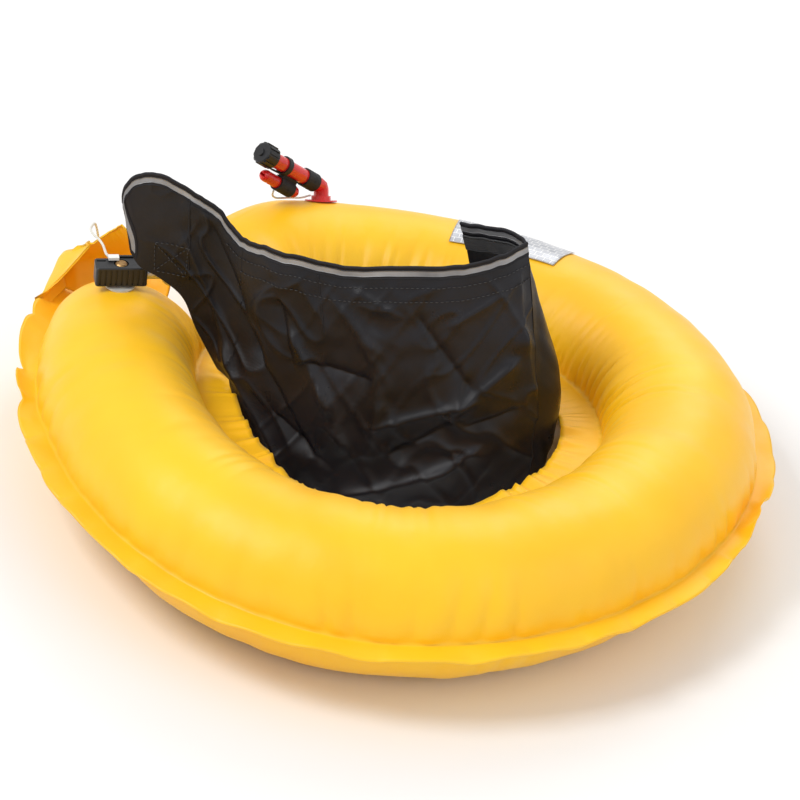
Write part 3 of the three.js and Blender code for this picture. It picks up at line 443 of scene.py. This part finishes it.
def plastic(name, colour, roughness, grain=600.0, depth=0.00005, shift=0.12, **extra):
    """Moulded plastic or rubber: fine grain, slight mottling and dull scuffs."""
    n = Nodes(name, roughness)
    place = n.coords()
    n.bump(n.noise(place, grain, 3, 0.6), depth, 0.6)
    dark = tuple(c * (1 - shift) for c in colour[:3]) + (1,)
    mottle = n.ramp(n.noise(place, 60, 4), 0.35, 0.65)
    scuff = n.ramp(n.noise(place, 160, 5, 0.7), 0.5, 0.72, roughness, min(1, roughness + 0.22))
    for key, value in extra.items():
        n.shader.inputs[key.replace("_", " ")].default_value = value
    return n.done(n.mix(mottle, dark, colour), scuff)


def metal(name, colour, roughness, tarnish):
    """Machined metal with tarnish in cloudy patches and fine turning marks."""
    n = Nodes(name, roughness, 1.0)
    place = n.coords()
    n.bump(n.noise(place, 1400, 2), 0.00003, 0.5)
    patches = n.ramp(n.noise(place, 220, 5, 0.65), 0.45, 0.7)
    shine = n.ramp(n.noise(place, 300, 3), 0.3, 0.7, roughness, roughness + 0.2)
    return n.done(n.mix(patches, colour, tarnish), shine)


def braid(name, light, dark, pitch):
    """Braided cord: diagonal strands, laid out in the cord's object coordinates."""
    n = Nodes(name, 0.85)
    place = n.coords()
    x, y, z = n.split(place)
    turns = 2 * math.pi / pitch
    a = n.math("SINE", n.math("MULTIPLY", n.math("ADD", n.math("ADD", x, y), z), turns))
    b = n.math("SINE", n.math("MULTIPLY", n.math("SUBTRACT", n.math("SUBTRACT", x, y), z), turns))
    strands = n.math("MAXIMUM", a, b)
    n.bump(strands, 0.0003, 0.8)
    n.bump(n.noise(place, 2500, 2), 0.0001, 0.5)
    return n.done(n.mix(n.ramp(strands, -0.6, 0.8), dark, light))


YELLOW = yellow_fabric()
BLACK = black_nylon()
SILVER = silver_patch()
GREY = grey_tape()
WEBBING = webbing()
HOOKS = fuzz("hook_tape", (0.004, 0.004, 0.005, 1), (0.03, 0.03, 0.034, 1), 1500)
LOOPS = fuzz("loop_tape", (0.006, 0.006, 0.007, 1), (0.05, 0.05, 0.055, 1), 900)
THREAD = plastic("black_thread", (0.034, 0.033, 0.036, 1), 0.5, 2500, 0.0001)
RED = plastic("red_moulded", (0.72, 0.012, 0.012, 1), 0.24, 260, 0.00004, 0.1, Coat_Weight=0.4,
              Subsurface_Weight=0.15, Subsurface_Scale=0.004)
RED_TUBE = plastic("red_tube", (0.78, 0.02, 0.02, 1), 0.16, 180, 0.00003, 0.08, Coat_Weight=0.6,
                   Subsurface_Weight=0.35, Subsurface_Scale=0.006)
BLACK_PLASTIC = plastic("black_moulded", (0.012, 0.012, 0.014, 1), 0.4, 900, 0.00012, 0.25)
BLACK_RUBBER = plastic("black_rubber", (0.014, 0.014, 0.015, 1), 0.55, 700, 0.0001, 0.2)
ELASTIC = plastic("black_elastic", (0.011, 0.011, 0.013, 1), 0.7, 2200, 0.0003, 0.3)
CLEAR = plastic("clear_rubber", (0.82, 0.81, 0.75, 1), 0.3, 400, 0.00005, 0.06, Transmission_Weight=0.45)
WHITE = plastic("white_moulded", (0.86, 0.85, 0.82, 1), 0.35, 500, 0.00005, 0.06)
YELLOW_PLASTIC = plastic("yellow_moulded", (0.93, 0.46, 0.008, 1), 0.35, 400, 0.00005, 0.08)
BRASS = metal("dull_brass", (0.42, 0.25, 0.1, 1), 0.32, (0.2, 0.1, 0.04, 1))
STEEL = metal("plated_steel", (0.6, 0.6, 0.62, 1), 0.25, (0.42, 0.42, 0.45, 1))
CORD_WHITE = braid("white_braid", (0.88, 0.86, 0.78, 1), (0.6, 0.57, 0.48, 1), 0.0022)

# ---------------------------------------------------------------- camera
CAMERA_DISTANCE, CAMERA_ELEVATION, CAMERA_ROLL = 2.2, math.radians(33.46), math.radians(8.15)
target = Vector((CENTRE * MM).tolist())
back = Vector((0, -math.cos(CAMERA_ELEVATION), math.sin(CAMERA_ELEVATION)))
camera_data = bpy.data.cameras.new("camera")
camera_data.lens = 116.2
camera_data.shift_x, camera_data.shift_y = 0.0089, 0.0209
camera = bpy.data.objects.new("camera", camera_data)
bpy.context.scene.collection.objects.link(camera)
turn = back.to_track_quat("Z", "Y").to_matrix() @ Matrix.Rotation(CAMERA_ROLL, 3, "Z")
camera.matrix_world = Matrix.Translation(target + back * CAMERA_DISTANCE) @ turn.to_4x4()
bpy.context.scene.camera = camera


# ---------------------------------------------------------------- cords
def tube_mesh(name, line, radius, material, body="ring", sides=14):
    """A round tube along points in millimetres, with domed ends. radius may vary along it."""
    line = np.asarray(line, float)
    radius = np.broadcast_to(radius, len(line))
    tangent = np.gradient(line, axis=0)
    tangent /= np.linalg.norm(tangent, axis=1, keepdims=True)
    side = np.cross(tangent[0], (0.3, 0.5, 0.8))
    sides_at, angle = [], np.arange(sides) * 2 * math.pi / sides
    for t in tangent:
        side = side - t * (side @ t)
        side /= np.linalg.norm(side)
        sides_at.append(side)
    side = np.array(sides_at)
    other = np.cross(tangent, side)
    ring = side[:, None] * np.cos(angle)[:, None] + other[:, None] * np.sin(angle)[:, None]
    body_of_tube = line[:, None] + ring * radius[:, None, None]
    dome = [(0.8, 0.35), (0.4, 0.6)]
    head = [line[0] - tangent[0] * radius[0] * b + ring[0] * radius[0] * a for a, b in reversed(dome)]
    tail = [line[-1] + tangent[-1] * radius[-1] * b + ring[-1] * radius[-1] * a for a, b in dome]
    rows = np.concatenate([head, body_of_tube, tail])
    count = len(rows)
    verts = rows.reshape(-1, 3)
    i, j = np.meshgrid(np.arange(count - 1), np.arange(sides), indexing="ij")
    k = (j + 1) % sides
    faces = np.stack([i * sides + j, i * sides + k, (i + 1) * sides + k, (i + 1) * sides + j], axis=2)
    faces = faces.reshape(-1, 4).tolist()
    faces.append(list(range(sides))[::-1])
    faces.append([(count - 1) * sides + q for q in range(sides)])
    along = np.concatenate([[0, 0], np.cumsum(np.linalg.norm(np.diff(line, axis=0), axis=1)).tolist()])
    along = np.concatenate([[0], along, [along[-1]] * 2]) * MM
    uv = np.stack([np.repeat(along, sides), np.tile(angle * radius[0] * MM, count)], axis=1)
    return make(name, verts, faces, material, body, uv)


def free_cord(name, points, radius, node):
    """A braided cord through the CAD cord's own points, with its real length."""
    line = catmull(points, np.linspace(0, 1, 110)) + CENTRE
    obj = tube_mesh(name, line, radius, CORD_WHITE)
    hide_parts(node)
    return obj, line * MM


cord, cord_line = free_cord("pull_cord_braid", PULL_CORD, CORD_RADIUS, "pull_cord")
cord.parent = None
cord.matrix_world = Matrix.Identity(4)
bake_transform(cord)
free_cord("whistle_lanyard_braid", LANYARD, LANYARD_RADIUS, "whistle_lanyard")


# ---------------------------------------------------------------- the ring
FIRST, LAST = END_A, END_B + 360
BUMP_AT = ((183, 9), (-14, 10))                   # where the flange is pleated hardest: angle and spread


def near(angle, place, spread):
    away = (angle - place + 180) % 360 - 180
    return np.exp(-(away / spread) ** 2)


def wave(x, seed):
    """Rounded lumps with sharp valleys between them, from 0 to 1, one for each unit of x."""
    bent = x + 0.32 * noise(x * 0.9, seed)
    return np.abs(np.sin(math.pi * bent)) ** 0.75


def ring_surface(rows=620):
    """Grid of points round the ring: each row is a closed line round the tube and its flanges."""
    total = (LAST - FIRST) / DEGREES_PER_MM
    dense = np.concatenate([np.linspace(-END_FLANGE, 0, 8)[:-1], NOSE * np.linspace(0, 1, 34)[:-1] ** 1.6])
    middle = np.linspace(NOSE, total - NOSE, rows - 2 * len(dense))
    along = np.concatenate([dense, middle, (total - dense)[::-1]])
    inner = np.linspace(1, 0, 9)[:-1] * INNER_FLANGE
    outer = np.linspace(0, 1, 10)[1:] * OUTER_FLANGE
    arch = np.linspace(math.pi, 0, 61)
    n_top = np.concatenate([-HALF_WIDTH - inner, HALF_WIDTH * np.cos(arch), HALF_WIDTH + outer])
    lift = np.concatenate([0 * inner, np.sin(arch), 0 * outer])
    beyond = np.concatenate([-inner, 0 * arch, outer])
    across = np.concatenate([n_top, n_top[::-1]])
    lift = np.concatenate([lift, -lift[::-1]])
    beyond = np.concatenate([beyond, beyond[::-1]])
    side = np.concatenate([np.ones(len(n_top)), -np.ones(len(n_top))])
    d_a, d_b = along[:, None], total - along[:, None]
    share = np.minimum(nose_share(np.maximum(d_a, 0)), nose_share(np.maximum(d_b, 0)))
    bulge = np.clip(1 - d_a / NOSE, 0, 1) - np.clip(1 - d_b / NOSE, 0, 1)
    angle = FIRST + (along[:, None] - end_rounding(across)[None] * bulge) * DEGREES_PER_MM
    z = FLANGE_HALF * side + (HALF_HEIGHT - FLANGE_HALF) * share * lift
    grid = ring_point(angle, across[None] + 0 * angle, z)
    return grid, along, angle, across, beyond, side, share, np.minimum(d_a, d_b)


def pucker(along, d, seed, pitch, reach, height):
    """Wrinkles that run away from a weld: d is the distance from it over the surface."""
    x = along / pitch
    strength = 0.55 + 0.45 * noise(x * 0.37 + 11, seed + 1)
    length = reach * (0.75 + 0.5 * noise(x * 0.8 + 5, seed + 2))
    lean = d / pitch * 0.25 * noise(along / 90, seed + 3)
    ridge = wave(x + lean, seed) - 0.7
    return height * strength * ridge * np.exp(-(d / length) ** 2) * (1 - np.exp(-d / 2.5))


def wrinkled_ring():
    grid, along, angle, across, beyond, side, share, from_end = ring_surface()
    a = along[:, None]
    normal = normals(grid)
    if normal[300, 40, 2] < 0:
        normal = -normal
    t = np.arccos(np.clip(across / HALF_WIDTH, -1, 1))
    out_d = (t * HALF_WIDTH)[None]
    in_d = ((math.pi - t) * HALF_WIDTH)[None]
    on_tube = (beyond == 0)[None]
    seed = np.where(side > 0, 0, 50)
    shift = np.zeros_like(grid[..., 0])
    for s in (0, 50):
        inner = pucker(a, in_d, 21 + s, 15, 64, 7.6) + pucker(a + 7, in_d, 31 + s, 8, 36, 3.2)
        outer = pucker(a, out_d, 41 + s, 24, 34, 4.0) + pucker(a, out_d, 61 + s, 12, 15, 1.6)
        # a few long creases over the crown
        long = 1.3 * noise2(a / 34, out_d / 70, 71 + s) + 0.5 * noise2(a / 15, out_d / 45, 73 + s)
        shift = np.where((seed == s)[None], inner + outer + long, shift)
    ends = pucker(across[None] + 0 * a, np.maximum(from_end, 0) + 0 * across[None], 91, 17, 30, 2.2)
    shift = np.where(on_tube, (shift + ends) * np.clip(share * 1.3, 0, 1), 0)
    shift = np.clip(shift, -6.5, 2.2)
    calm = near(angle, 69.5, 17) ** 0.5 * near(across[None] * 2, 12, 60) * (side > 0)[None]
    shift = shift * (1 - np.clip(calm * 2.2, 0, 1))
    rest = normal * shift[..., None]
    # the flange ruffles up and down, most where it is pleated
    edge = np.abs(beyond)[None]
    centre_angle = angle[:, len(across) // 4][:, None]
    hard = sum(near(centre_angle, place, spread) for place, spread in BUMP_AT)
    scallop = wave(a / 41, 12) * (0.6 + 0.4 * noise(a / 130, 13))
    ruffle = 2.4 * noise(a / 21, 5) + 6 * (scallop - 0.5) + hard * (7.5 * noise(a / 8, 7) + 6 * scallop)
    outer_lift = (edge / OUTER_FLANGE) ** 1.4 * (ruffle + 9 * hard * (edge / OUTER_FLANGE))
    inner_ruffle = 4.0 * noise(a / 13, 8) + 1.5 * noise(a / 6, 9)
    inner_lift = (edge / INNER_FLANGE) ** 1.3 * inner_ruffle
    lift = np.where(beyond[None] > 0, outer_lift, np.where(beyond[None] < 0, inner_lift, 0))
    rest[..., 2] += lift
    curl = near(centre_angle, 166, 9)
    rest[..., 2] += np.where(beyond[None] > 0, 12 * curl * (edge / OUTER_FLANGE) ** 1.3, 0)
    drawn_in = (4.2 + 5 * hard) * (0.7 - scallop) * edge / OUTER_FLANGE
    drawn_in = drawn_in + 3.5 * hard * (edge / OUTER_FLANGE) ** 2
    pull = np.where(beyond[None] > 0, drawn_in, 0)
    out = outward(centre_angle[:, 0])
    rest[..., 0] -= out[:, :1] * pull
    rest[..., 1] -= out[:, 1:] * pull
    return grid + rest, along


def build_ring():
    grid, along = wrinkled_ring()
    rows, columns = grid.shape[:2]
    i, j = np.meshgrid(np.arange(rows - 1), np.arange(columns), indexing="ij")
    k = (j + 1) % columns
    faces = np.stack([i * columns + j, (i + 1) * columns + j, (i + 1) * columns + k, i * columns + k], axis=2)
    faces = faces.reshape(-1, 4)
    half = columns // 2
    caps = []
    for row, flip in ((0, False), (rows - 1, True)):
        for c in range(half - 1):
            q = [row * columns + c, row * columns + c + 1,
                 row * columns + columns - 2 - c, row * columns + columns - 1 - c]
            caps.append(q[::-1] if flip else q)
    girth = np.concatenate([[0], np.cumsum(np.linalg.norm(np.diff(grid[rows // 2], axis=0), axis=1))])
    uv = np.stack(np.meshgrid(along * MM, girth * MM, indexing="ij"), axis=2).reshape(-1, 2)
    obj = make("ring_fabric", grid.reshape(-1, 3), faces.tolist() + caps, YELLOW, "ring", uv)
    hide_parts("bladder_top_panel", "bladder_bottom_panel")


build_ring()


def end_tab():
    """The square-cut tab that curls up behind the inflator end."""
    u = np.linspace(-0.16, 1, 56)
    w = np.clip(-u / 0.16, 0, 1)                   # along the flange, where the tab runs out
    u = np.maximum(u, 0)
    n = 80 - 92 * u
    a = END_A - (END_FLANGE * 0.7 + end_rounding(n)) * DEGREES_PER_MM + 7 * w
    low = ring_point(a, n, 3.6 - 1.2 * w)
    middle = ring_point(a - 2 - 2 * u + 2 * w, n + 14 - 6 * u - 8 * w, (26 + 10 * u) * (1 - w) + 6 * w)
    top = ring_point(a - 1 + 2 * u, 62 - 28 * u + 28 * w ** 2, (53 + 26 * u) * (1 - w ** 1.5) + 9 * w ** 1.5)
    v = np.linspace(0, 1, 34)
    grid = np.array([catmull([p, q, r], v) for p, q, r in zip(low, middle, top)])
    s = (u - w * 0.5)[:, None] * 95
    h = v[None] * 80
    grid += normals(grid) * (1.1 * noise2(s / 16, h / 22, 301) + 0.5 * noise2(s / 7, h / 10, 302))[..., None]
    obj = closed_sheet("end_tab_fabric", grid, 0.2, 2.0, YELLOW)
    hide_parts("bladder_end_tab")


end_tab()

# ---------------------------------------------------------------- reflective patch
def patch():
    """The sheet on the back of the ring: it follows the fabric, a little proud of it."""
    turn = PATCH_LENGTH / (centre_radius(PATCH_START) * math.pi / 180)
    u, v = np.linspace(0, 1, 60)[:, None], np.linspace(0, 1, 30)[None]
    a = PATCH_START - turn * u + 0 * v
    n = PATCH_WIDTH * (v - 0.5) + 1 + 9 * u
    z = HALF_HEIGHT * np.sqrt(1 - (n / HALF_WIDTH) ** 2)
    away = np.stack([n / HALF_WIDTH ** 2, z / HALF_HEIGHT ** 2], axis=-1)
    away /= np.linalg.norm(away, axis=-1, keepdims=True)
    lift = 1.3 + 0.3 * noise2(u * 6, v * 3, 401)
    grid = ring_point(a, n + away[..., 0] * lift, z + away[..., 1] * lift)
    if normals(grid)[30, 15, 2] < 0:
        grid = grid[::-1]
    obj = closed_sheet("patch_fabric", grid, -0.4, 0.3, SILVER)
    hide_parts("reflective_patch")


patch()


# ---------------------------------------------------------------- the pouch
# Creases of the front cloth: start and end (across, height), half width and depth.
CREASES = [
    (-190, 184, -142, 90, 9, 4.5), (-142, 90, -80, 12, 10, 5), (-168, 200, -122, 115, 8, -4),
    (-122, 115, -74, 52, 9, -5), (-86, 132, -58, 94, 11, 8), (-58, 94, -40, 58, 9, 6.5),
    (-58, 177, -24, 147, 8, 4), (-24, 147, -12, 90, 9, 5.5), (-12, 90, -16, 60, 9, 5),
    (-9, 80, 57, 107, 9, 5.5), (57, 107, 87, 138, 8, 5), (-28, 12, 44, 45, 12, 7),
    (44, 45, 67, 62, 9, 5),
    (13, 172, 54, 128, 9, -4.5), (54, 128, 51, 100, 8, 4), (86, 210, 97, 161, 7, 4), (97, 161, 117, 96, 8, 5),
    (42, 177, 70, 198, 6, 3), (-105, 160, -90, 120, 8, -5), (-70, 120, -30, 118, 8, -4),
    (10, 60, 40, 82, 8, -5),
    (-95, 60, -60, 40, 9, -5), (70, 90, 96, 100, 7, -4), (-40, 190, -10, 178, 7, 3)]
SEAMS = [(-192, 228, -187, 150), (-77, 198, -66, 150)]


def pouch_point(p):
    return p + np.array([CENTRE[0], CENTRE[1], 0])


def foot_of(p):
    top = ring_top(p[:, 0], p[:, 1])
    lowest = np.where(np.isinf(top), 1.0, top + HALF_HEIGHT + POUCH_CLEARANCE)
    q = p.copy()
    q[:, 2] = np.maximum(p[:, 2], lowest)
    return q


def panel_grid(rows, columns, lines):
    """Points from foot to top edge, in the pouch's plan coordinates."""
    t, v = np.linspace(0, 1, columns), np.linspace(0, 1, lines)[None, :, None]
    top = catmull([r[0] for r in rows], t)[:, None]
    foot = foot_of(catmull([r[1] for r in rows], t))[:, None]
    if len(rows[0]) == 3:
        middle = catmull([r[2] for r in rows], t)[:, None]
        return foot * (1 - v) * (1 - 2 * v) + middle * 4 * v * (1 - v) + top * v * (2 * v - 1)
    return foot * (1 - v) + top * v


def segment_distance(x, h, x0, h0, x1, h1):
    dx, dh = x1 - x0, h1 - h0
    length = math.hypot(dx, dh)
    t = ((x - x0) * dx + (h - h0) * dh) / length ** 2
    across = ((x - x0) * dh - (h - h0) * dx) / length
    past = np.maximum(np.maximum(-t, t - 1), 0) * length
    return across, past


def folds(x, h):
    """Depth of the cloth's folds at a place: sharp-topped creases over soft wrinkles."""
    total = 1.5 * noise2((x + 0.7 * h) / 52, (h - 0.5 * x) / 70, 501)
    total = total + 0.6 * noise2((x - h) / 23, (x + h) / 30, 502)
    crease = 1 - np.abs(noise2((x + 0.9 * h) / 30, (h - 0.8 * x) / 75, 503)) * 2
    cross = 1 - np.abs(noise2((x - 0.6 * h) / 24, (h + 0.4 * x) / 60, 505)) * 2.4
    small = 0.35 * noise2(x / 8, h / 10, 504)
    total += 2.4 * np.clip(crease, 0, 1) ** 3 + 1.6 * np.clip(cross, 0, 1) ** 3 + small
    for x0, h0, x1, h1, width, depth in CREASES:
        across, past = segment_distance(x, h, x0, h0, x1, h1)
        slope = np.where(across > 0, 1.0, 2.2)
        shape = np.exp(-np.abs(across * slope / width) ** 1.1) * np.exp(-(past / (1.3 * width)) ** 2)
        total += depth * shape
    return total


def smooth(x, low, high):
    t = np.clip((x - low) / (high - low), 0, 1)
    return t * t * (3 - 2 * t)


def drop_lines(grid, drops):
    """Points a given way below the top edge, down each column of the cloth."""
    down = grid[:, ::-1]
    steps = np.linalg.norm(np.diff(down, axis=1), axis=2)
    s = np.concatenate([np.zeros((len(down), 1)), np.cumsum(steps, axis=1)], axis=1)
    return np.array([[[np.interp(d, s[i], down[i, :, c]) for c in range(3)] for d in drops]
                     for i in range(len(down))])


def band(name, grid, low, high, near_face, far_face, material, first=0.0, last=1.0, lines=7):
    count = len(grid)
    part = drop_lines(grid[int(first * count):max(int(last * count), 2)], np.linspace(high, low, lines))
    return closed_sheet(name, part, near_face, far_face, material)


def stitches(name, points, normal, length=2.8, gap=1.5, radius=0.42, lift=0.3):
    """A row of short thread loops along a line, in one mesh."""
    points, normal = np.asarray(points), np.asarray(normal)
    s = np.concatenate([[0], np.cumsum(np.linalg.norm(np.diff(points, axis=0), axis=1))])
    verts, faces = [], []
    ring = np.arange(6) * math.pi / 3
    for start in np.arange(0.5, s[-1] - length, length + gap):
        def at(d):
            return np.array([np.interp(d, s, points[:, c]) for c in range(3)])
        n = np.array([np.interp(start, s, normal[:, c]) for c in range(3)])
        a, b = at(start), at(start + length)
        t = (b - a) / max(np.linalg.norm(b - a), 1e-6)
        side = np.cross(t, n)
        base = len(verts)
        for f, r, up in ((0, 0.4, -0.3), (0.2, 1, 0.6), (0.8, 1, 0.6), (1, 0.4, -0.3)):
            c = a + (b - a) * f + n * (lift + radius * up)
            for q in ring:
                verts.append(c + (side * math.cos(q) + n * math.sin(q)) * radius * r)
        for k in range(3):
            for q in range(6):
                w = (q + 1) % 6
                faces.append((base + k * 6 + q, base + k * 6 + w, base + k * 6 + 6 + w, base + k * 6 + 6 + q))
        faces.append([base + q for q in range(6)][::-1])
        faces.append([base + 18 + q for q in range(6)])
    return make(name, np.array(verts), faces, THREAD)


def surface_line(grid, normal, x0, h0, x1, h1, count=40):
    """The cloth's points nearest a straight line drawn on it, and their normals."""
    flat = grid.reshape(-1, 3)
    t = np.linspace(0, 1, count)
    line = np.stack([x0 + (x1 - x0) * t + CENTRE[0], h0 + (h1 - h0) * t], axis=1)
    found = [int(np.argmin(((flat[:, [0, 2]] - p) ** 2).sum(axis=1))) for p in line]
    places, away = flat[found], normal.reshape(-1, 3)[found]
    kernel = np.ones(5) / 5
    padded = np.vstack([places[:1]] * 2 + [places] + [places[-1:]] * 2)
    smoothed = np.stack([np.convolve(padded[:, c], kernel, "valid") for c in range(3)], axis=1)
    smoothed[:, 0], smoothed[:, 2] = line[:, 0], line[:, 1]
    return smoothed, away


CORNER = 20.0                                     # radius of the wing's upper corner


def build_pouch():
    main_rows = WING + FRONT[1:]
    columns, lines = 300, 150
    grid = panel_grid(main_rows, columns, lines)
    end = panel_grid(END, 150, lines)
    t = np.linspace(0, 1, columns)[:, None]
    v = np.linspace(0, 1, lines)[None]
    # the wing's upper corner is rounded
    reach = np.linalg.norm(grid[:, -1] - grid[0, -1], axis=1)
    cut = CORNER - np.sqrt(np.maximum(CORNER ** 2 - np.clip(CORNER - reach, 0, CORNER) ** 2, 0))
    height = grid[:, -1, 2] - grid[:, 0, 2]
    grid = grid[:, :1] + (grid - grid[:, :1]) * (1 - cut / height)[:, None, None]
    # the front cloth rounds into the end one at its right edge
    grid = grid + (end[0] - grid[-1])[None] * smooth(t, 0.84, 1.0)[..., None]
    grid[..., 1] += 3.2 * np.sin(math.pi * v) * smooth(t, 0.45, 0.9) * -1
    x, h = grid[..., 0], grid[..., 2]
    over_ring = 1 - smooth(t, 0.36, 0.5)
    low = smooth(v, 0.0, 0.14) * over_ring + (1 - over_ring) * smooth(v, -0.1, 0.08)
    hold = low * (1 - smooth(v, 0.88, 0.97)) * (1 - 0.75 * (1 - smooth(t, 0.05, 0.3)))
    depth = folds(x, h) * hold
    normal = normals(grid)
    grid = pouch_point(grid + normal * depth[..., None])
    # the top edge waves a little
    wavy = smooth(v, 0.75, 1.0) * (1.3 * noise(t * 23, 511) + 0.6 * noise(t * 61, 512))
    grid[..., 2] += wavy
    normal = normals(grid)
    cloth = closed_sheet("pouch_front_cloth", grid, -FACE, FACE, BLACK)
    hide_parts("pouch_wing", "pouch_front_panel")
    tape = band("front_stripe", grid, *STRIPE, 0.95, 1.5, GREY)
    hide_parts("wing_edge_tape", "front_edge_tape")
    band("front_binding", grid, *BOUND_EDGE, FACE, 1.25, BINDING)
    band("front_binding_back", grid, *BOUND_EDGE, -FACE, -1.25, BINDING)
    side_edge = grid.transpose(1, 0, 2)[:, ::-1]
    band("wing_side_stripe", side_edge, *STRIPE, 0.95, 1.5, GREY, 0.1, 0.93)
    band("wing_side_binding", side_edge, *BOUND_EDGE, FACE, 1.25, BINDING, 0.05, 0.96)
    hooks = band("front_hook_strip", grid, *STRIP, -1.0, -2.2, HOOKS, 0.52, 0.95)
    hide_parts("hook_strip")
    tube_mesh("front_piping", grid[:, -1] + [0, 0, 0.4], 1.5, BINDING)
    for name, drop, first in (("front_stitching_low", 17, 0.38), ("front_stitching_mid", 29, 0.45)):
        line = drop_lines(grid[int(first * columns):], [drop])[:, 0]
        away = drop_normals(grid, normal, int(first * columns), drop)
        stitches(name, line + away * FACE, away)
    box = [(-218, 183, -189, 183), (-189, 183, -190, 153), (-190, 153, -217, 155), (-217, 155, -218, 183),
           (-218, 183, -190, 153), (-189, 183, -217, 155)]
    for k, (x0, h0, x1, h1) in enumerate(box):
        line, away = surface_line(grid, normal, x0, h0, x1, h1)
        stitches(f"anchor_stitching_{k + 1}", line + away * FACE, away)
    for k, (x0, h0, x1, h1) in enumerate(SEAMS):
        line, away = surface_line(grid, normal, x0, h0, x1, h1)
        seam = tube_mesh(f"pouch_seam_{k + 1}", line + away * 0.5, 0.9, BLACK)

    # the strap behind the wing stops above its lower edge
    low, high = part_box("wing_anchor_webbing")
    width = np.linspace(low[0], high[0], 24)[:, None] * 1000
    up = np.linspace(158, high[2] * 1000, 40)[None]
    strap = np.stack([width + 0 * up, 0 * width + 0 * up + low[1] * 1000 + 0.9, up + 0 * width], axis=-1)
    strap = closed_sheet("anchor_webbing", strap, -0.75, 0.75, WEBBING)
    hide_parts("wing_anchor_webbing")

    # the end cloth, whose inner face shows
    x, h = end[..., 0] + 1.4 * end[..., 1], end[..., 2]
    t = np.linspace(0, 1, len(end))[:, None]
    hold = smooth(v, 0.0, 0.1) * (1 - smooth(v, 0.86, 0.97)) * smooth(t, 0.0, 0.12)
    end_depth = (2.4 * noise2(x / 30, h / 55, 521) + 1.2 * noise2((x + h) / 17, h / 25, 522)) * hold
    end_normal = normals(end)
    end = pouch_point(end + end_normal * end_depth[..., None])
    end[..., 2] += smooth(v, 0.75, 1.0) * 0.8 * noise(t * 9, 523) * smooth(t, 0, 0.1)
    cloth = closed_sheet("pouch_end_cloth", end, -FACE, FACE, BLACK)
    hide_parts("pouch_end_panel")
    tape = band("end_stripe", end, *STRIPE, -0.95, -1.5, GREY, 0.03)
    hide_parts("end_edge_tape")
    band("end_binding", end, *BOUND_EDGE, -FACE, -1.25, BINDING)
    band("end_binding_back", end, *BOUND_EDGE, FACE, 1.25, BINDING)
    loops = band("end_loop_strip", end, *STRIP, -1.0, -2.4, LOOPS, 0.3, 1.0)
    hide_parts("loop_strip")
    tube_mesh("end_piping", end[:, -1] + [0, 0, 0.4], 1.5, BINDING)


def drop_normals(grid, normal, first, drop):
    s = np.linalg.norm(np.diff(grid[first:, ::-1], axis=1), axis=2).cumsum(axis=1)
    index = np.array([int(np.searchsorted(row, drop)) for row in s])
    flipped = normal[first:, ::-1]
    return flipped[np.arange(len(index)), index]


BINDING = black_nylon("black_binding", 0.0009, 0.5, 0.65)
build_pouch()


# ---------------------------------------------------------------- finishes of the CAD pieces
def finish(material, *nodes):
    for node in nodes:
        obj = bpy.data.objects[node]
        for index in range(max(1, len(obj.material_slots))):
            if not obj.material_slots:
                obj.data.materials.append(material)
            obj.material_slots[index].material = material


finish(BLACK_PLASTIC, "inflator_body", "firing_lever", "dust_cap")
finish(BLACK_RUBBER, "cap_tether")
finish(ELASTIC, "retaining_sleeve", "whistle_holder")
finish(CLEAR, "manifold_stem", "lower_gasket", "upper_gasket", "poppet_seal")
finish(BRASS, "cap_nut")
finish(STEEL, "lever_pin", "piercing_pin", "pin_spring", "gas_cylinder", "valve_spring")
finish(WHITE, "indicator_clip", "valve_seat", "valve_poppet")
finish(RED, "oral_elbow", "whistle_body")
finish(RED_TUBE, "oral_tube")
finish(YELLOW_PLASTIC, "pull_handle")

# ---------------------------------------------------------------- floor and light
def stage():
    floor = bpy.data.meshes.new("floor")
    size, low = 6.0, float(CAD_BOX[0][2]) - 0.0005
    corners = [(-size, -size, low), (size, -size, low), (size, size, low), (-size, size, low)]
    floor.from_pydata(corners, [], [(0, 1, 2, 3)])
    obj = bpy.data.objects.new("floor", floor)
    n = Nodes("floor_white", 0.75)
    n.done((0.86, 0.86, 0.86, 1))
    floor.materials.append(n.material)
    bpy.context.scene.collection.objects.link(obj)
    world = bpy.data.worlds.new("studio")
    world.use_nodes = True
    world.node_tree.nodes["Background"].inputs["Color"].default_value = (1, 1, 1, 1)
    world.node_tree.nodes["Background"].inputs["Strength"].default_value = 0.72
    bpy.context.scene.world = world
    bpy.context.scene.view_settings.view_transform = "Standard"
    for name, place, power, side in (("key", (-1.5, -0.7, 2.2), 33, 0.9), ("fill", (1.7, -1.0, 1.5), 8, 1.6),
                                     ("rim", (0.5, 1.9, 1.7), 15, 1.2)):
        light = bpy.data.lights.new(name, "AREA")
        light.energy, light.size = power, side
        lamp = bpy.data.objects.new(name, light)
        bpy.context.scene.collection.objects.link(lamp)
        aim = Vector(place) - Vector((0, 0, 0.06))
        lamp.matrix_world = Matrix.Translation(place) @ aim.to_track_quat("Z", "Y").to_matrix().to_4x4()


stage()
